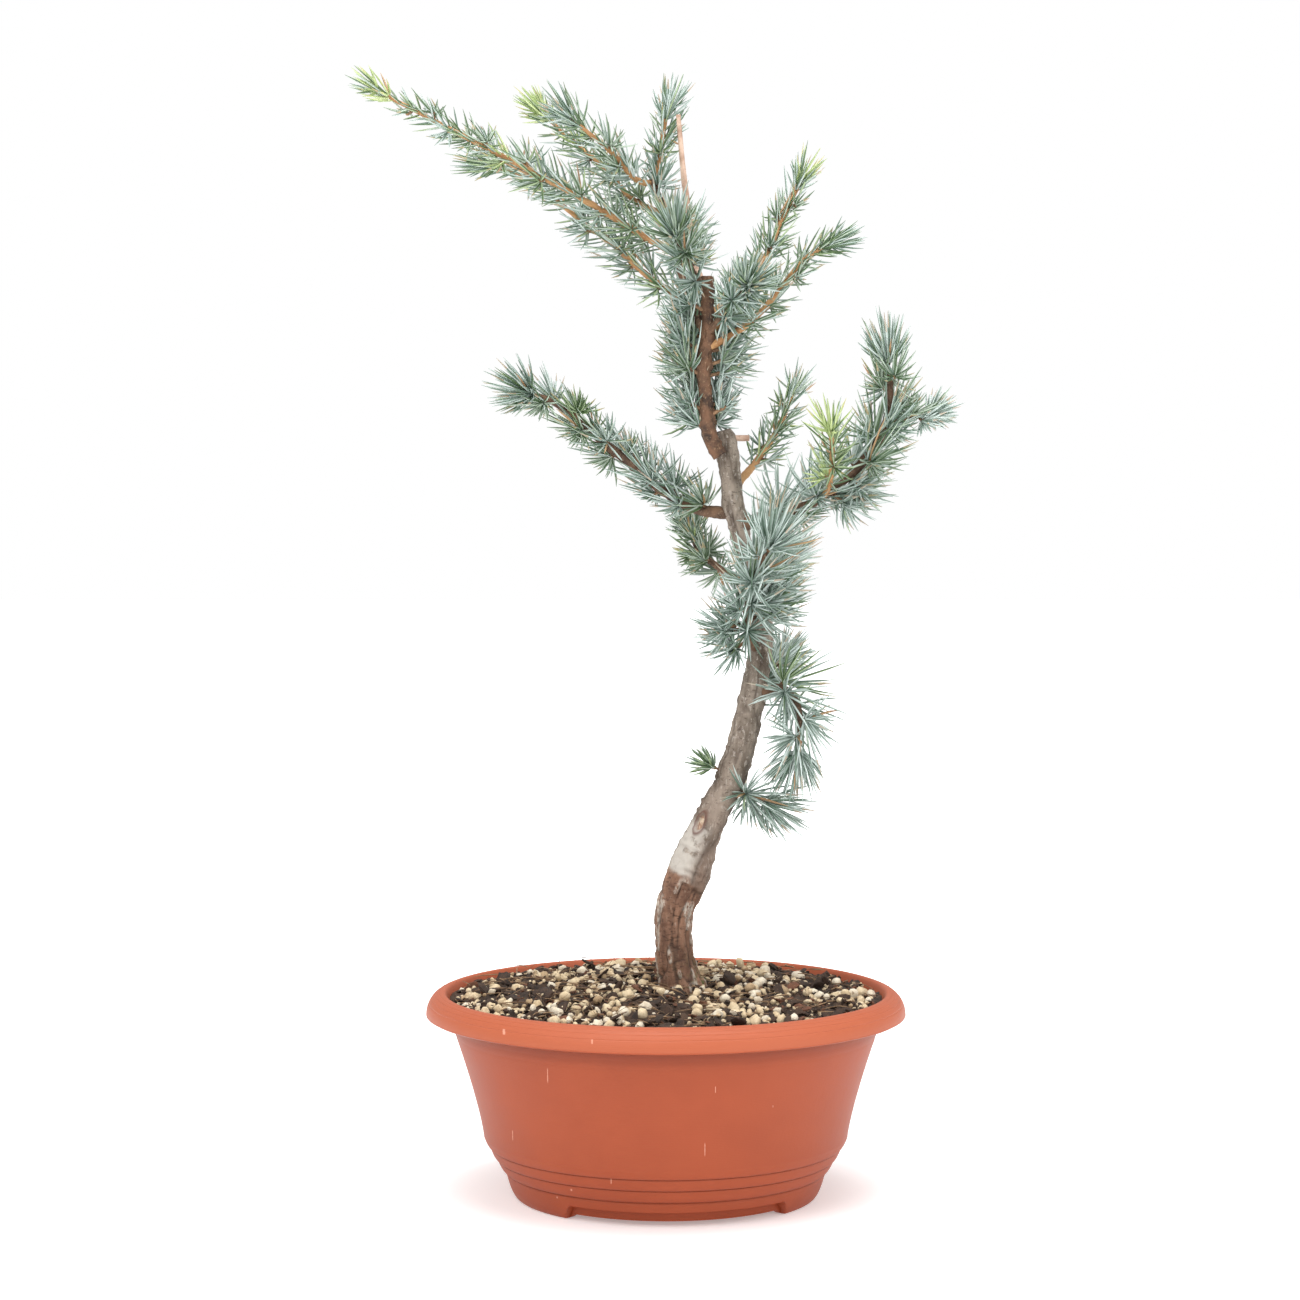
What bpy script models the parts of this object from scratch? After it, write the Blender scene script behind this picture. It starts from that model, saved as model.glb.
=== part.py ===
# Potted blue atlas cedar: a round plastic bowl of potting mix holds a young grafted tree with a bent
# trunk, a cut leader, boughs, and one closed uneven solid for each mass of needles.
# Metres, +Z up, front towards -Y. The origin is on the floor, on the axis of the bowl.

import math

import bmesh
import bpy
import numpy as np
from mathutils import Vector

MM = 0.001
GAP = 0.3 * MM  # clear space between pieces that touch

# Bowl
BOWL_SIDES = 32
BOWL_HEIGHT = 85.2 * MM
RIM_RADIUS = 100 * MM  # at the rim's lower edge, where the bowl is widest
MOUTH_RADIUS = 92.5 * MM
RIM_DEPTH = 10 * MM
RIM_LIP = 0.8 * MM  # depth of the lip below the rim's rounded edge
RIM_LIP_INSET = 1.2 * MM
RIM_STEPS = 5
UNDER_RIM_RADIUS = 90.4 * MM
WALL = 2 * MM
SHOULDER_RADIUS = 76.1 * MM  # where the flaring wall turns in to the stepped foot
SHOULDER_HEIGHT = 25 * MM
FLARE_POWER = 1.25
WALL_HEIGHTS = (62 * MM, 50 * MM, 38 * MM)  # where the flaring wall's curve has its points
CREASES = ((73.6 * MM, 21 * MM), (70.7 * MM, 15.9 * MM), (67 * MM, 10.5 * MM))  # radius, height
CREASE_BULGE = 0.5  # 0 is a straight band between creases, 1 a quarter ellipse
FOOT_RADIUS = 62.5 * MM
FOOT_INNER_RADIUS = 58 * MM
FLOOR_UNDERSIDE = 3 * MM
FLOOR_TOP = 8 * MM
FLOOR_RADIUS = 59 * MM
FOOT_DRAFT = 0.5 * MM  # how far the foot's inner side leans in up to the floor's underside
INNER_FOOT_HEIGHT = 13.5 * MM  # where the inside of the stepped foot turns up
ARCH_BEARINGS = (-85, 95)  # middle of each low arch between the two feet
ARCH_HALF_ANGLE = 42
ARCH_SLANT = 3  # how much wider the arch is at the floor than at its top, on each side
ARCH_HEIGHT = 6.2 * MM
ARCH_RING_RADIUS = 61 * MM  # the ring that shows inside the arch
ARCH_RING_LIFT = 1.8 * MM
ARCH_RING_INNER_RADIUS = 54 * MM
ARCH_STEPS = 14
CUTTER_OVERRUN = 2 * MM

# Potting mix
SOIL_EDGE_HEIGHT = 81.5 * MM
SOIL_TOP = 86 * MM
SOIL_CROWN_RADIUS = 19 * MM  # flat ground under the trunk
SOIL_DOME_STEPS = 4

# Trunk and leader. Leans are degrees to the right and to the back, spaced evenly along the length.
TRUNK_FOOT = (6.8 * MM, 0, SOIL_TOP + GAP)
TRUNK_LENGTH = 242 * MM
TRUNK_LEANS_RIGHT = (-16, -5, 21, 22, 28, 17, 12, 12, -4, -21, -13, -5, -16)
TRUNK_LEANS_BACK = (-3, -2, 8, -4, -3)
TRUNK_RADII = (7.9 * MM, 7.8 * MM, 7.6 * MM, 6.3 * MM, 5.8 * MM, 5 * MM, 4.5 * MM, 4.6 * MM, 5.1 * MM)
ROOT_FLARE = 2.1 * MM
ROOT_FLARE_REACH = 7 * MM
GRAFT_HEIGHT = 49 * MM  # along the trunk
GRAFT_SWELLING = 1.4 * MM
GRAFT_REACH = 13 * MM
LEADER_START = 234 * MM  # along the trunk
LEADER_OFFSET = (-3.5 * MM, -5.5 * MM, -2 * MM)  # from the middle of the trunk to its front left
LEADER_LENGTH = 74 * MM
LEADER_LEANS_RIGHT = (-34, -4, -4, 10, -3, 0)
LEADER_LEANS_BACK = (-2, 1, 5)
LEADER_RADII = (3.1 * MM, 3 * MM, 2.8 * MM, 2.5 * MM, 2.4 * MM)

# Limbs: parent, distance along it, length, radius where it starts and at its tip, bare length up to
# its needles, in millimetres; then bearings (0 is right, 90 is back) and climbs above level, in
# degrees, spaced evenly along the limb. A limb with no bare length has only needles.
LIMBS = {
    "top_bough": ("leader", 49, 72, 2.4, 1.5, 72, (132, 159, 201), (53, 61, 82, 70, 57)),
    "upper_long": ("top_bough", 38, 139, 1.5, 0.8, 8, (-164, -163, -175), (28, 29, 25, 26, 28)),
    "lower_long": ("top_bough", 19, 104, 1.5, 0.8, 7, (162, 163, 173), (19, 44, 35, 43, 5)),
    "rear_short": ("top_bough", 56, 72, 1.3, 0.8, 7, (158, 151, 159), (11, 49, 37, 44)),
    "front_short": ("top_bough", 70, 45, 1.2, 0.8, 0, (-133, -163), (-12, 47, 34, 38)),
    "spire": ("top_bough", 67, 34, 1.1, 0.8, 0, (62, 56), (69, 76, 69)),
    "front_tuft": ("leader", 67, 35, 1.4, 0.8, 0, (-118, -115), (28, 33, 43)),
    "right_upper": ("leader", 51, 88, 1.7, 0.8, 25, (35, 58, 26), (24, 48, 57, 62)),
    "right_lower": ("leader", 44, 67, 1.6, 0.8, 18, (-20, -22), (20, 33, 48, 51, 17)),
    "right_front": ("leader", 49, 37, 1.3, 0.8, 0, (-55, -68), (44, 26, 22)),
    "left_bough": ("trunk", 207, 103, 2.7, 1.1, 22, (158, 177, 221), (-6, 24, 40, 38, 40, 10)),
    "rear_left": ("trunk", 175, 50, 1.8, 0.9, 17, (152, 106), (9, 28, 26, 53)),
    "right_bough": ("trunk", 201, 105, 3, 1.2, 19, (-39, -13, 18), (17, 11, 34, 46, 78, 99)),
    "front_candle": ("right_bough", 40, 45, 1.3, 0.9, 0, (-74, -101), (5, 45, 47)),
    "right_twig": ("right_bough", 81, 20, 1.1, 0.7, 0, (6, 42), (12, 10)),
    "rear_right": ("trunk", 216, 64, 1.8, 0.8, 18, (54, 58), (35, 34, 44, 53)),
    "front_lower": ("trunk", 146, 62, 2, 0.9, 17, (-125, -86, -48), (35, 41, 51, 50)),
    "right_low": ("trunk", 126, 45, 2, 0.9, 14, (-30, -50), (37, 23, -46, -87, -99)),
    "rear_low": ("trunk", 169, 45, 1.5, 0.8, 0, (83, 64), (17, 20, 24)),
    "rear_leader": ("leader", 29, 49, 1.3, 0.8, 0, (95, 99), (28, 27, 33)),
    "rear_top": ("top_bough", 35, 38, 1.2, 0.8, 0, (75, 83), (27, 30)),
    "rear_middle": ("trunk", 128, 39, 1.5, 0.8, 0, (67, 68), (26, 19)),
    "rear_high": ("leader", 57, 45, 1.3, 0.8, 0, (69, 74), (20, 20)),
    "low_spur": ("trunk", 89, 16, 1.2, 0.8, 0, (-20, -15), (-10, -30)),
    "left_spur": ("trunk", 95, 9, 0.8, 0.5, 0, (200, 200), (15, 25)),
    "dead_leader": ("leader", 65, 79, 1.8, 1, 79, (134, 146), (56, 81, 83, 84)),
    "dead_stub": ("trunk", 238, 11, 1.4, 1.2, 11, (5, 5), (2, 2)),
}
LINE_STEPS = 120
STEM_POINT_SPACING = 9 * MM
LIMB_POINT_SPACING = 6 * MM
UPRIGHT_FOOT = 1.5 * MM
STEM_SIDES = 10
LIMB_SIDES = 8
SHARP_EDGE = 60  # degrees between faces past which an edge of a limb is not smoothed

# Masses of needles: limb, start and end along it, radius at each end, then how far the mass's middle
# line lies to the right of the limb, behind it and above it, all in millimetres.
MASSES = {
    "upper_long_inner": ("upper_long", 9, 76, 10.5, 10, (0, 0, 0.5)),
    "upper_long_outer": ("upper_long", 79, 145, 9, 5.5, (0, 0, 0.5)),
    "lower_long_inner": ("lower_long", 8, 62, 11, 9.5, (0, 0, 0)),
    "lower_long_outer": ("lower_long", 65, 112, 9, 7, (0, 0, 2)),
    "rear_short": ("rear_short", 8, 79, 9.5, 7, (0, 0, -1)),
    "front_short": ("front_short", 7, 52, 9.5, 8.5, (0, 0, 0)),
    "spire": ("spire", 5, 42, 8.5, 7.5, (1, 0, 0)),
    "top_right": ("top_bough", 42, 70, 8.5, 8, (5, -3, 1)),
    "front_tuft": ("front_tuft", 9, 42, 11.5, 11, (0, 0, 2)),
    "leader_left_upper": ("leader", 29, 61, 11.5, 11, (-9, 3, 2)),
    "leader_left_lower": ("leader", 3, 27, 9.5, 10.5, (-9, 4, 4)),
    "leader_right_upper": ("leader", 30, 56, 11.5, 11, (10.5, 3, 0)),
    "leader_right_lower": ("leader", 8, 27, 7.5, 8.5, (6.5, 4, 1)),
    "right_upper": ("right_upper", 26, 95, 10, 6.5, (-0.5, 0, 0)),
    "right_lower": ("right_lower", 19, 74, 9.5, 6.5, (0, 0, 0)),
    "right_front": ("right_front", 12, 43, 10, 10, (0, 0, 0)),
    "left_inner": ("left_bough", 11, 47, 11, 11, (0, 0, 3.5)),
    "left_middle": ("left_bough", 50, 85, 11.5, 9.5, (0, 0, 0)),
    "left_tip": ("left_bough", 88, 112, 9.5, 11, (-1.5, 0, 1.5)),
    "rear_left": ("rear_left", 18, 56, 10.5, 9.5, (1.5, 0, -2)),
    "right_inner": ("right_bough", 9, 47, 13, 14, (0, 0, 6)),
    "right_fan": ("right_bough", 42, 58, 9, 10, (5, 0, -8)),
    "right_outer": ("right_bough", 51, 82, 14, 13, (0, 0, 1.5)),
    "right_top": ("right_bough", 85, 114, 12.5, 9, (0, 0, 0)),
    "right_twig": ("right_twig", 9, 28, 8.5, 7.5, (-1, 0, 1)),
    "front_candle": ("front_candle", 16, 51, 10, 9.5, (0, 0, 0)),
    "rear_right": ("rear_right", 19, 70, 9.5, 7.5, (0, 0, 0)),
    "front_lower": ("front_lower", 18, 70, 14, 14, (0, 0, 0)),
    "front_lower_left": ("front_lower", 11, 27, 11.5, 11, (-10, 3, -5)),
    "front_lower_right": ("front_lower", 22, 44, 11, 12, (19, 4, -2)),
    "right_low_upper": ("right_low", 13, 28, 15, 15, (2, 0, 2.5)),
    "right_low_lower": ("right_low", 31, 53, 14.5, 12, (-1, 0, 1.5)),
    "low_rosette": ("low_spur", 5, 19, 14, 13, (2, 0, 0)),
    "left_rosette": ("left_spur", 6, 12, 4, 4, (0, 0, 0)),
    "rear_low": ("rear_low", 12, 52, 11, 11, (0, 0, 0)),
    "rear_leader": ("rear_leader", 10, 56, 11, 10, (0, 0, 0)),
    "rear_top": ("rear_top", 10, 45, 11, 10, (0, 0, 0)),
    "rear_middle": ("rear_middle", 12, 46, 11, 10, (0, 0, 0)),
    "rear_high": ("rear_high", 12, 52, 11, 10, (0, 0, 0)),
}
MASS_AROUND = 9
MASS_ALONG = 7
MASS_FULLNESS = 0.62  # 1 tapers like an ellipse, less is fuller towards the ends
MASS_UNEVENNESS = 0.13
MASS_SEED = 7
MASS_GAP = 1.6 * MM  # kept between two masses where they meet
WOOD_CLEARANCE = 0.4 * MM  # cut round the trunk and each bough from what meets it
WOOD_REACH = 6 * MM  # wood this far outside a mass is not near it
AXIS_SAMPLES = 24
REACH_SAMPLES = 30
LEAST_REACH = 0.05
ACROSS_HINT = (0.3, 0.9, 0.2)  # no mass runs this way, so it gives a steady way across each

COLOURS = {
    "bowl": ((0.56, 0.17, 0.08), 0.5),
    "soil": ((0.06, 0.035, 0.02), 0.95),
    "bark": ((0.16, 0.1, 0.065), 0.85),
    "twig": ((0.25, 0.13, 0.06), 0.8),
    "dead_wood": ((0.42, 0.27, 0.19), 0.8),
    "needles": ((0.2, 0.33, 0.3), 0.6),
}


def clear_scene():
    for obj in list(bpy.data.objects):
        bpy.data.objects.remove(obj)


def new_collection(name):
    collection = bpy.data.collections.new(name)
    bpy.context.scene.collection.children.link(collection)
    return collection


def new_material(name, colour, roughness):
    material = bpy.data.materials.new(name)
    material.use_nodes = True
    shader = material.node_tree.nodes["Principled BSDF"]
    shader.inputs["Base Color"].default_value = (*colour, 1)
    shader.inputs["Roughness"].default_value = roughness
    shader.inputs["Metallic"].default_value = 0
    return material


def add_object(name, data, collection, material=None):
    obj = bpy.data.objects.new(name, data)
    collection.objects.link(obj)
    if material:
        data.materials.append(material)
    return obj


def hide_as_cutter(obj):
    obj.hide_render = True
    obj.display_type = "WIRE"


def cut(obj, cutter):
    boolean = obj.modifiers.new("cut by " + cutter.name, "BOOLEAN")
    boolean.operation = "DIFFERENCE"
    boolean.solver = "EXACT"
    boolean.object = cutter


def turned(name, profile, collection, material):
    """A profile of (radius, height) points, top to bottom on its outer side, turned about Z."""
    mesh = bpy.data.meshes.new(name)
    points = [(radius, 0, height) for radius, height in profile]
    mesh.from_pydata(points, [(i, i + 1) for i in range(len(points) - 1)], [])
    obj = add_object(name, mesh, collection, material)
    screw = obj.modifiers.new("turn", "SCREW")
    screw.axis = "Z"
    screw.steps = BOWL_SIDES
    screw.render_steps = BOWL_SIDES
    screw.use_merge_vertices = True
    screw.merge_threshold = 0.01 * MM
    screw.use_smooth_shade = True
    return obj


def wall_radius(height):
    """Outer radius of the flaring wall between the shoulder and the rim."""
    rim_foot = BOWL_HEIGHT - RIM_DEPTH
    share = (height - SHOULDER_HEIGHT) / (rim_foot - SHOULDER_HEIGHT)
    return SHOULDER_RADIUS + (UNDER_RIM_RADIUS - SHOULDER_RADIUS) * share**FLARE_POWER


def rim_profile():
    """Quarter ellipse from the mouth over to the rim's lower edge, then in under it to the wall."""
    points = []
    for step in range(RIM_STEPS + 1):
        angle = math.radians(90 * step / RIM_STEPS)
        radius = MOUTH_RADIUS + (RIM_RADIUS - MOUTH_RADIUS) * math.sin(angle)
        points.append((radius, BOWL_HEIGHT - (RIM_DEPTH - RIM_LIP) * (1 - math.cos(angle))))
    rim_foot = BOWL_HEIGHT - RIM_DEPTH
    return points + [(RIM_RADIUS - RIM_LIP_INSET, rim_foot), (UNDER_RIM_RADIUS, rim_foot)]


def foot_profile():
    """The stepped foot: each band bulges out below one crease and runs in to the next."""
    ends = [(SHOULDER_RADIUS, SHOULDER_HEIGHT), *CREASES, (FOOT_RADIUS, 0)]
    points = []
    for (radius, height), (next_radius, next_height) in zip(ends[:-1], ends[1:]):
        points.append((radius, height))
        half = math.radians(45)
        straight = (radius + next_radius) / 2
        round_out = next_radius + (radius - next_radius) * math.cos(half)
        middle = height + (next_height - height) * (0.5 + (math.sin(half) - 0.5) * CREASE_BULGE)
        points.append((straight + (round_out - straight) * CREASE_BULGE, middle))
    return points + [ends[-1]]


def inner_wall():
    """Inside of the bowl, from the edge of its floor up to the mouth, as (radius, height)."""
    heights = [SHOULDER_HEIGHT, WALL_HEIGHTS[2], WALL_HEIGHTS[1], BOWL_HEIGHT - RIM_DEPTH]
    wall = [(wall_radius(height) - WALL, height) for height in heights]
    foot = (CREASES[2][0] - WALL, INNER_FOOT_HEIGHT)
    return [(FLOOR_RADIUS, FLOOR_TOP), foot, *wall]


def make_bowl(parts, cutters, material):
    """The bowl turned in one piece, with a low arch between its two feet at the front and the rear."""
    outside = [(wall_radius(height), height) for height in WALL_HEIGHTS]
    floor_edge = (FOOT_INNER_RADIUS - FOOT_DRAFT, FLOOR_UNDERSIDE)
    underside = [(FOOT_INNER_RADIUS, 0), floor_edge, (0, FLOOR_UNDERSIDE)]
    profile = [(0, FLOOR_TOP), *inner_wall(), *rim_profile(), *outside, *foot_profile(), *underside]
    bowl = turned("bowl", profile, parts, material)
    for side, bearing in zip(("front", "rear"), ARCH_BEARINGS):
        cut(bowl, arch_cutter(side + "_arch", cutters, bearing, ARCH_RING_RADIUS, ARCH_HEIGHT))
        cut(bowl, arch_cutter(side + "_lift", cutters, bearing, ARCH_RING_INNER_RADIUS, ARCH_RING_LIFT))


def arch_cutter(name, cutters, bearing, inner, height):
    """A sector of a ring from below the floor up to this height, narrower at its top."""
    shape = bmesh.new()
    shares = [2 * step / ARCH_STEPS - 1 for step in range(ARCH_STEPS + 1)]
    outline = [(inner, share) for share in shares]
    outline += [(RIM_RADIUS, share) for share in reversed(shares)]

    def ring(level, half_angle):
        corners = []
        for radius, share in outline:
            angle = math.radians(bearing + share * half_angle)
            corners.append(shape.verts.new((radius * math.cos(angle), radius * math.sin(angle), level)))
        return corners

    lower = ring(-CUTTER_OVERRUN, ARCH_HALF_ANGLE + ARCH_SLANT)
    upper = ring(height, ARCH_HALF_ANGLE)
    shape.faces.new(lower)
    shape.faces.new(upper)
    for i in range(len(outline)):
        after = (i + 1) % len(outline)
        shape.faces.new((lower[i], lower[after], upper[after], upper[i]))
    bmesh.ops.recalc_face_normals(shape, faces=shape.faces)
    mesh = bpy.data.meshes.new(name)
    shape.to_mesh(mesh)
    shape.free()
    cutter = add_object(name, mesh, cutters)
    hide_as_cutter(cutter)
    return cutter


def make_soil(parts, material):
    """Potting mix: flat under the trunk, domed down to its edge, and filling the bowl to its floor."""
    mouth_slope = (MOUTH_RADIUS - UNDER_RIM_RADIUS + WALL) / RIM_DEPTH
    edge_radius = MOUTH_RADIUS - (BOWL_HEIGHT - SOIL_EDGE_HEIGHT) * mouth_slope - 2 * GAP
    profile = [(0, SOIL_TOP)]
    for step in range(SOIL_DOME_STEPS + 1):
        share = step / SOIL_DOME_STEPS
        radius = SOIL_CROWN_RADIUS + (edge_radius - SOIL_CROWN_RADIUS) * share
        profile.append((radius, SOIL_TOP - (SOIL_TOP - SOIL_EDGE_HEIGHT) * share**2))
    for radius, height in reversed(inner_wall()):
        profile.append((radius - 2 * GAP, max(height, FLOOR_TOP + GAP)))
    profile.append((0, FLOOR_TOP + GAP))
    turned("potting_mix", profile, parts, material)


def along(values, share):
    """The value at a share of the length, from values spaced evenly along it."""
    return np.interp(share, np.linspace(0, 1, len(values)), values)


def running_sum(start, length, directions):
    """Points from start, each a step further in the next direction."""
    steps = directions * length / len(directions)
    return np.vstack([start, np.asarray(start) + np.cumsum(steps, axis=0)])


def upright_line(start, length, leans_right, leans_back):
    """Middle line of an upright stem: the running sum of directions read from its leans."""
    shares = (np.arange(LINE_STEPS) + 0.5) / LINE_STEPS
    right = np.sin(np.radians(along(leans_right, shares)))
    back = np.sin(np.radians(along(leans_back, shares)))
    up = np.sqrt(1 - right**2 - back**2)
    return running_sum(start, length, np.stack([right, back, up], axis=1))


def limb_line(start, length, bearings, climbs):
    """Middle line of a limb: the running sum of directions read from its bearings and climbs."""
    shares = (np.arange(LINE_STEPS) + 0.5) / LINE_STEPS
    bearing = np.radians(along(bearings, shares))
    climb = np.radians(along(climbs, shares))
    level = np.cos(climb)
    directions = np.stack([level * np.cos(bearing), level * np.sin(bearing), np.sin(climb)], axis=1)
    return running_sum(start, length, directions)


def point_along(line, distance):
    """Point at a distance along a line, carried straight on past its end."""
    lengths = np.concatenate([[0], np.cumsum(np.linalg.norm(np.diff(line, axis=0), axis=1))])
    inside = np.array([np.interp(distance, lengths, line[:, axis]) for axis in range(3)])
    beyond = np.maximum(np.asarray(distance) - lengths[-1], 0)
    last = (line[-1] - line[-2]) / np.linalg.norm(line[-1] - line[-2])
    return (inside + last.reshape(3, *[1] * np.ndim(distance)) * beyond).T


def trunk_radius(distance):
    """Taper, root flare and the swelling at the graft."""
    taper = along(TRUNK_RADII, distance / TRUNK_LENGTH)
    flare = ROOT_FLARE * np.exp(-distance / ROOT_FLARE_REACH)
    graft = GRAFT_SWELLING * np.exp(-(((distance - GRAFT_HEIGHT) / GRAFT_REACH) ** 2))
    return taper + flare + graft


def leader_radius(distance):
    return along(LEADER_RADII, distance / LEADER_LENGTH)


def limb_radius(name, distance):
    """Even taper from where the limb starts to its tip."""
    _, _, length, thick, thin = LIMBS[name][:5]
    return (thick + (thin - thick) * distance / (length * MM)) * MM


def limb_lines():
    """The middle line of the trunk, the leader and every limb, each starting on its parent's."""
    lines = {"trunk": upright_line(TRUNK_FOOT, TRUNK_LENGTH, TRUNK_LEANS_RIGHT, TRUNK_LEANS_BACK)}
    leader_foot = point_along(lines["trunk"], LEADER_START) + np.array(LEADER_OFFSET)
    lines["leader"] = upright_line(leader_foot, LEADER_LENGTH, LEADER_LEANS_RIGHT, LEADER_LEANS_BACK)
    for name, (parent, distance, length, _, _, _, bearings, climbs) in LIMBS.items():
        start = point_along(lines[parent], distance * MM)
        lines[name] = limb_line(start, length * MM, bearings, climbs)
    return lines


def solid_tube(name, points, radii, sides, collection):
    """A round limb through points, of its own radius at each, made a mesh with its flat ends welded."""
    curve = bpy.data.curves.new(name, "CURVE")
    curve.dimensions = "3D"
    curve.bevel_depth = 1
    curve.bevel_resolution = (sides - 4) // 2
    curve.use_fill_caps = True
    spline = curve.splines.new("POLY")
    spline.points.add(len(points) - 1)
    for knot, point, radius in zip(spline.points, points, radii):
        knot.co = (*point, 1)
        knot.radius = radius
    guide = add_object(name + "_guide", curve, collection)
    graph = bpy.context.evaluated_depsgraph_get()
    mesh = bpy.data.meshes.new_from_object(guide.evaluated_get(graph))
    bpy.data.objects.remove(guide)
    shape = bmesh.new()
    shape.from_mesh(mesh)
    bmesh.ops.remove_doubles(shape, verts=shape.verts, dist=0.001 * MM)
    bmesh.ops.recalc_face_normals(shape, faces=shape.faces)
    shape.to_mesh(mesh)
    shape.free()
    mesh.shade_smooth()
    mesh.set_sharp_from_angle(angle=math.radians(SHARP_EDGE))
    return add_object(name, mesh, collection)


def make_stem(name, line, length, radius_at, collection, wider=0):
    """The trunk or the leader, set on a short upright length so that its foot is cut level."""
    distances = np.linspace(0, length, round(length / STEM_POINT_SPACING) + 1)
    points = [Vector(point) for point in point_along(line, distances)]
    points[1].xy = points[0].xy.lerp(points[1].xy, 0.5)
    points.insert(1, points[0] + Vector((0, 0, UPRIGHT_FOOT)))
    distances = np.insert(distances, 1, UPRIGHT_FOOT)
    return solid_tube(name, points, radius_at(distances) + wider, STEM_SIDES, collection)


def make_limb(name, lines, collection, wider=0):
    """The bare wood of a limb, from inside its parent to where it enters its needles."""
    end = LIMBS[name][5] * MM - 2 * GAP + wider
    distances = np.linspace(0, end, max(round(end / LIMB_POINT_SPACING), 2) + 1)
    radii = limb_radius(name, distances) + wider
    return solid_tube(name + "_wood", point_along(lines[name], distances), radii, LIMB_SIDES, collection)


def make_wood(lines, parts, cutters, materials):
    """Trunk, leader and bare boughs, each cut round its parent. Returns a slightly fatter cutter of
    each, with the stretch of middle line that it covers."""
    fatter = {}
    stems = (("trunk", TRUNK_LENGTH, trunk_radius), ("leader", LEADER_LENGTH, leader_radius))
    for name, length, radius_at in stems:
        stem = make_stem(name, lines[name], length, radius_at, parts)
        stem.data.materials.append(materials["bark"])
        if name == "leader":
            cut(stem, fatter["trunk"][0])
        fat = make_stem(name + "_cutter", lines[name], length, radius_at, cutters, WOOD_CLEARANCE)
        fatter[name] = (fat, lines[name])
    for name, (parent, _, length, _, _, bare, _, _) in LIMBS.items():
        if not bare:
            continue
        bough = make_limb(name, lines, parts)
        bough.data.materials.append(materials["dead_wood" if name.startswith("dead") else "twig"])
        cut(bough, fatter[parent][0])
        covered = max(round(bare / length * len(lines[name])), 2)
        fat = make_limb(name, lines, cutters, WOOD_CLEARANCE)
        fat.name = name + "_cutter"
        fatter[name] = (fat, lines[name][:covered])
    for fat, _ in fatter.values():
        hide_as_cutter(fat)
    return fatter


def mass_axes(lines):
    """For each mass, the points and radii along its middle line."""
    axes = {}
    for name, (limb, start, end, first, last, offset) in MASSES.items():
        points = point_along(lines[limb], np.linspace(start, end, AXIS_SAMPLES) * MM)
        shift = np.array(offset) * MM
        axes[name] = (points + shift, np.linspace(first, last, AXIS_SAMPLES) * MM)
    return axes


def distance_outside(points, axis, radii):
    """How far each point lies outside a mass's even surface, less than 0 for one inside it."""
    spans = np.linalg.norm(points[..., None, :] - axis, axis=-1) - radii
    return spans.min(axis=-1)


def frames_along(axis):
    """Two unit vectors across the line at each of its points, turned as little as possible."""
    ways = np.gradient(axis, axis=0)
    ways /= np.linalg.norm(ways, axis=1, keepdims=True)
    across = np.cross(ways, ACROSS_HINT)
    across /= np.linalg.norm(across, axis=1, keepdims=True)
    return across, np.cross(ways, across)


def make_mass(name, axes, parts, material):
    """A sphere drawn out along the mass's middle line, uneven, and held back where another mass's
    surface is nearer than its own."""
    axis, radii = axes[name]
    across, over = frames_along(axis)
    random = np.random.default_rng(MASS_SEED + list(MASSES).index(name))
    waves = random.uniform(0, 2 * math.pi, 4)
    shape = bmesh.new()
    bmesh.ops.create_uvsphere(shape, u_segments=MASS_AROUND, v_segments=MASS_ALONG, radius=1)
    sphere = np.array([vert.co for vert in shape.verts])
    share = (sphere[:, 2] + 1) / 2 * (AXIS_SAMPLES - 1)
    span = np.arange(AXIS_SAMPLES)
    middle = np.stack([np.interp(share, span, axis[:, i]) for i in range(3)], axis=1)
    side = np.stack([np.interp(share, span, across[:, i]) for i in range(3)], axis=1)
    top = np.stack([np.interp(share, span, over[:, i]) for i in range(3)], axis=1)
    turn = np.arctan2(sphere[:, 1], sphere[:, 0])
    outward = side * np.cos(turn)[:, None] + top * np.sin(turn)[:, None]
    uneven = np.sin(3 * turn + waves[0]) + np.sin(2 * turn + share * 0.5 + waves[1])
    uneven += np.sin(share * 0.9 + waves[2]) + np.sin(turn - share * 0.6 + waves[3])
    full = np.hypot(sphere[:, 0], sphere[:, 1]) ** MASS_FULLNESS
    reach = np.interp(share, span, radii) * full * (1 + MASS_UNEVENNESS * uneven / 2)
    steps = np.linspace(LEAST_REACH, 1, REACH_SAMPLES)
    tested = middle[:, None] + outward[:, None] * (reach[:, None] * steps)[..., None]
    own = distance_outside(tested, axis, radii)
    free = np.ones(own.shape, bool)
    for other, (other_axis, other_radii) in axes.items():
        if other != name:
            free &= own < distance_outside(tested, other_axis, other_radii) - MASS_GAP
    blocked = np.argmin(free, axis=1)
    last_free = np.where(free.all(axis=1), REACH_SAMPLES - 1, np.maximum(blocked - 1, 0))
    placed = middle + outward * (reach * steps[last_free])[:, None]
    for vert, point in zip(shape.verts, placed):
        vert.co = point
    bmesh.ops.triangulate(shape, faces=shape.faces)
    bmesh.ops.recalc_face_normals(shape, faces=shape.faces)
    mesh = bpy.data.meshes.new(name)
    shape.to_mesh(mesh)
    shape.free()
    return add_object(name + "_needles", mesh, parts, material)


def near(first, second, reach):
    """Whether any points of two lines come this close."""
    return np.linalg.norm(first[:, None] - second[None], axis=-1).min() < reach


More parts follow.
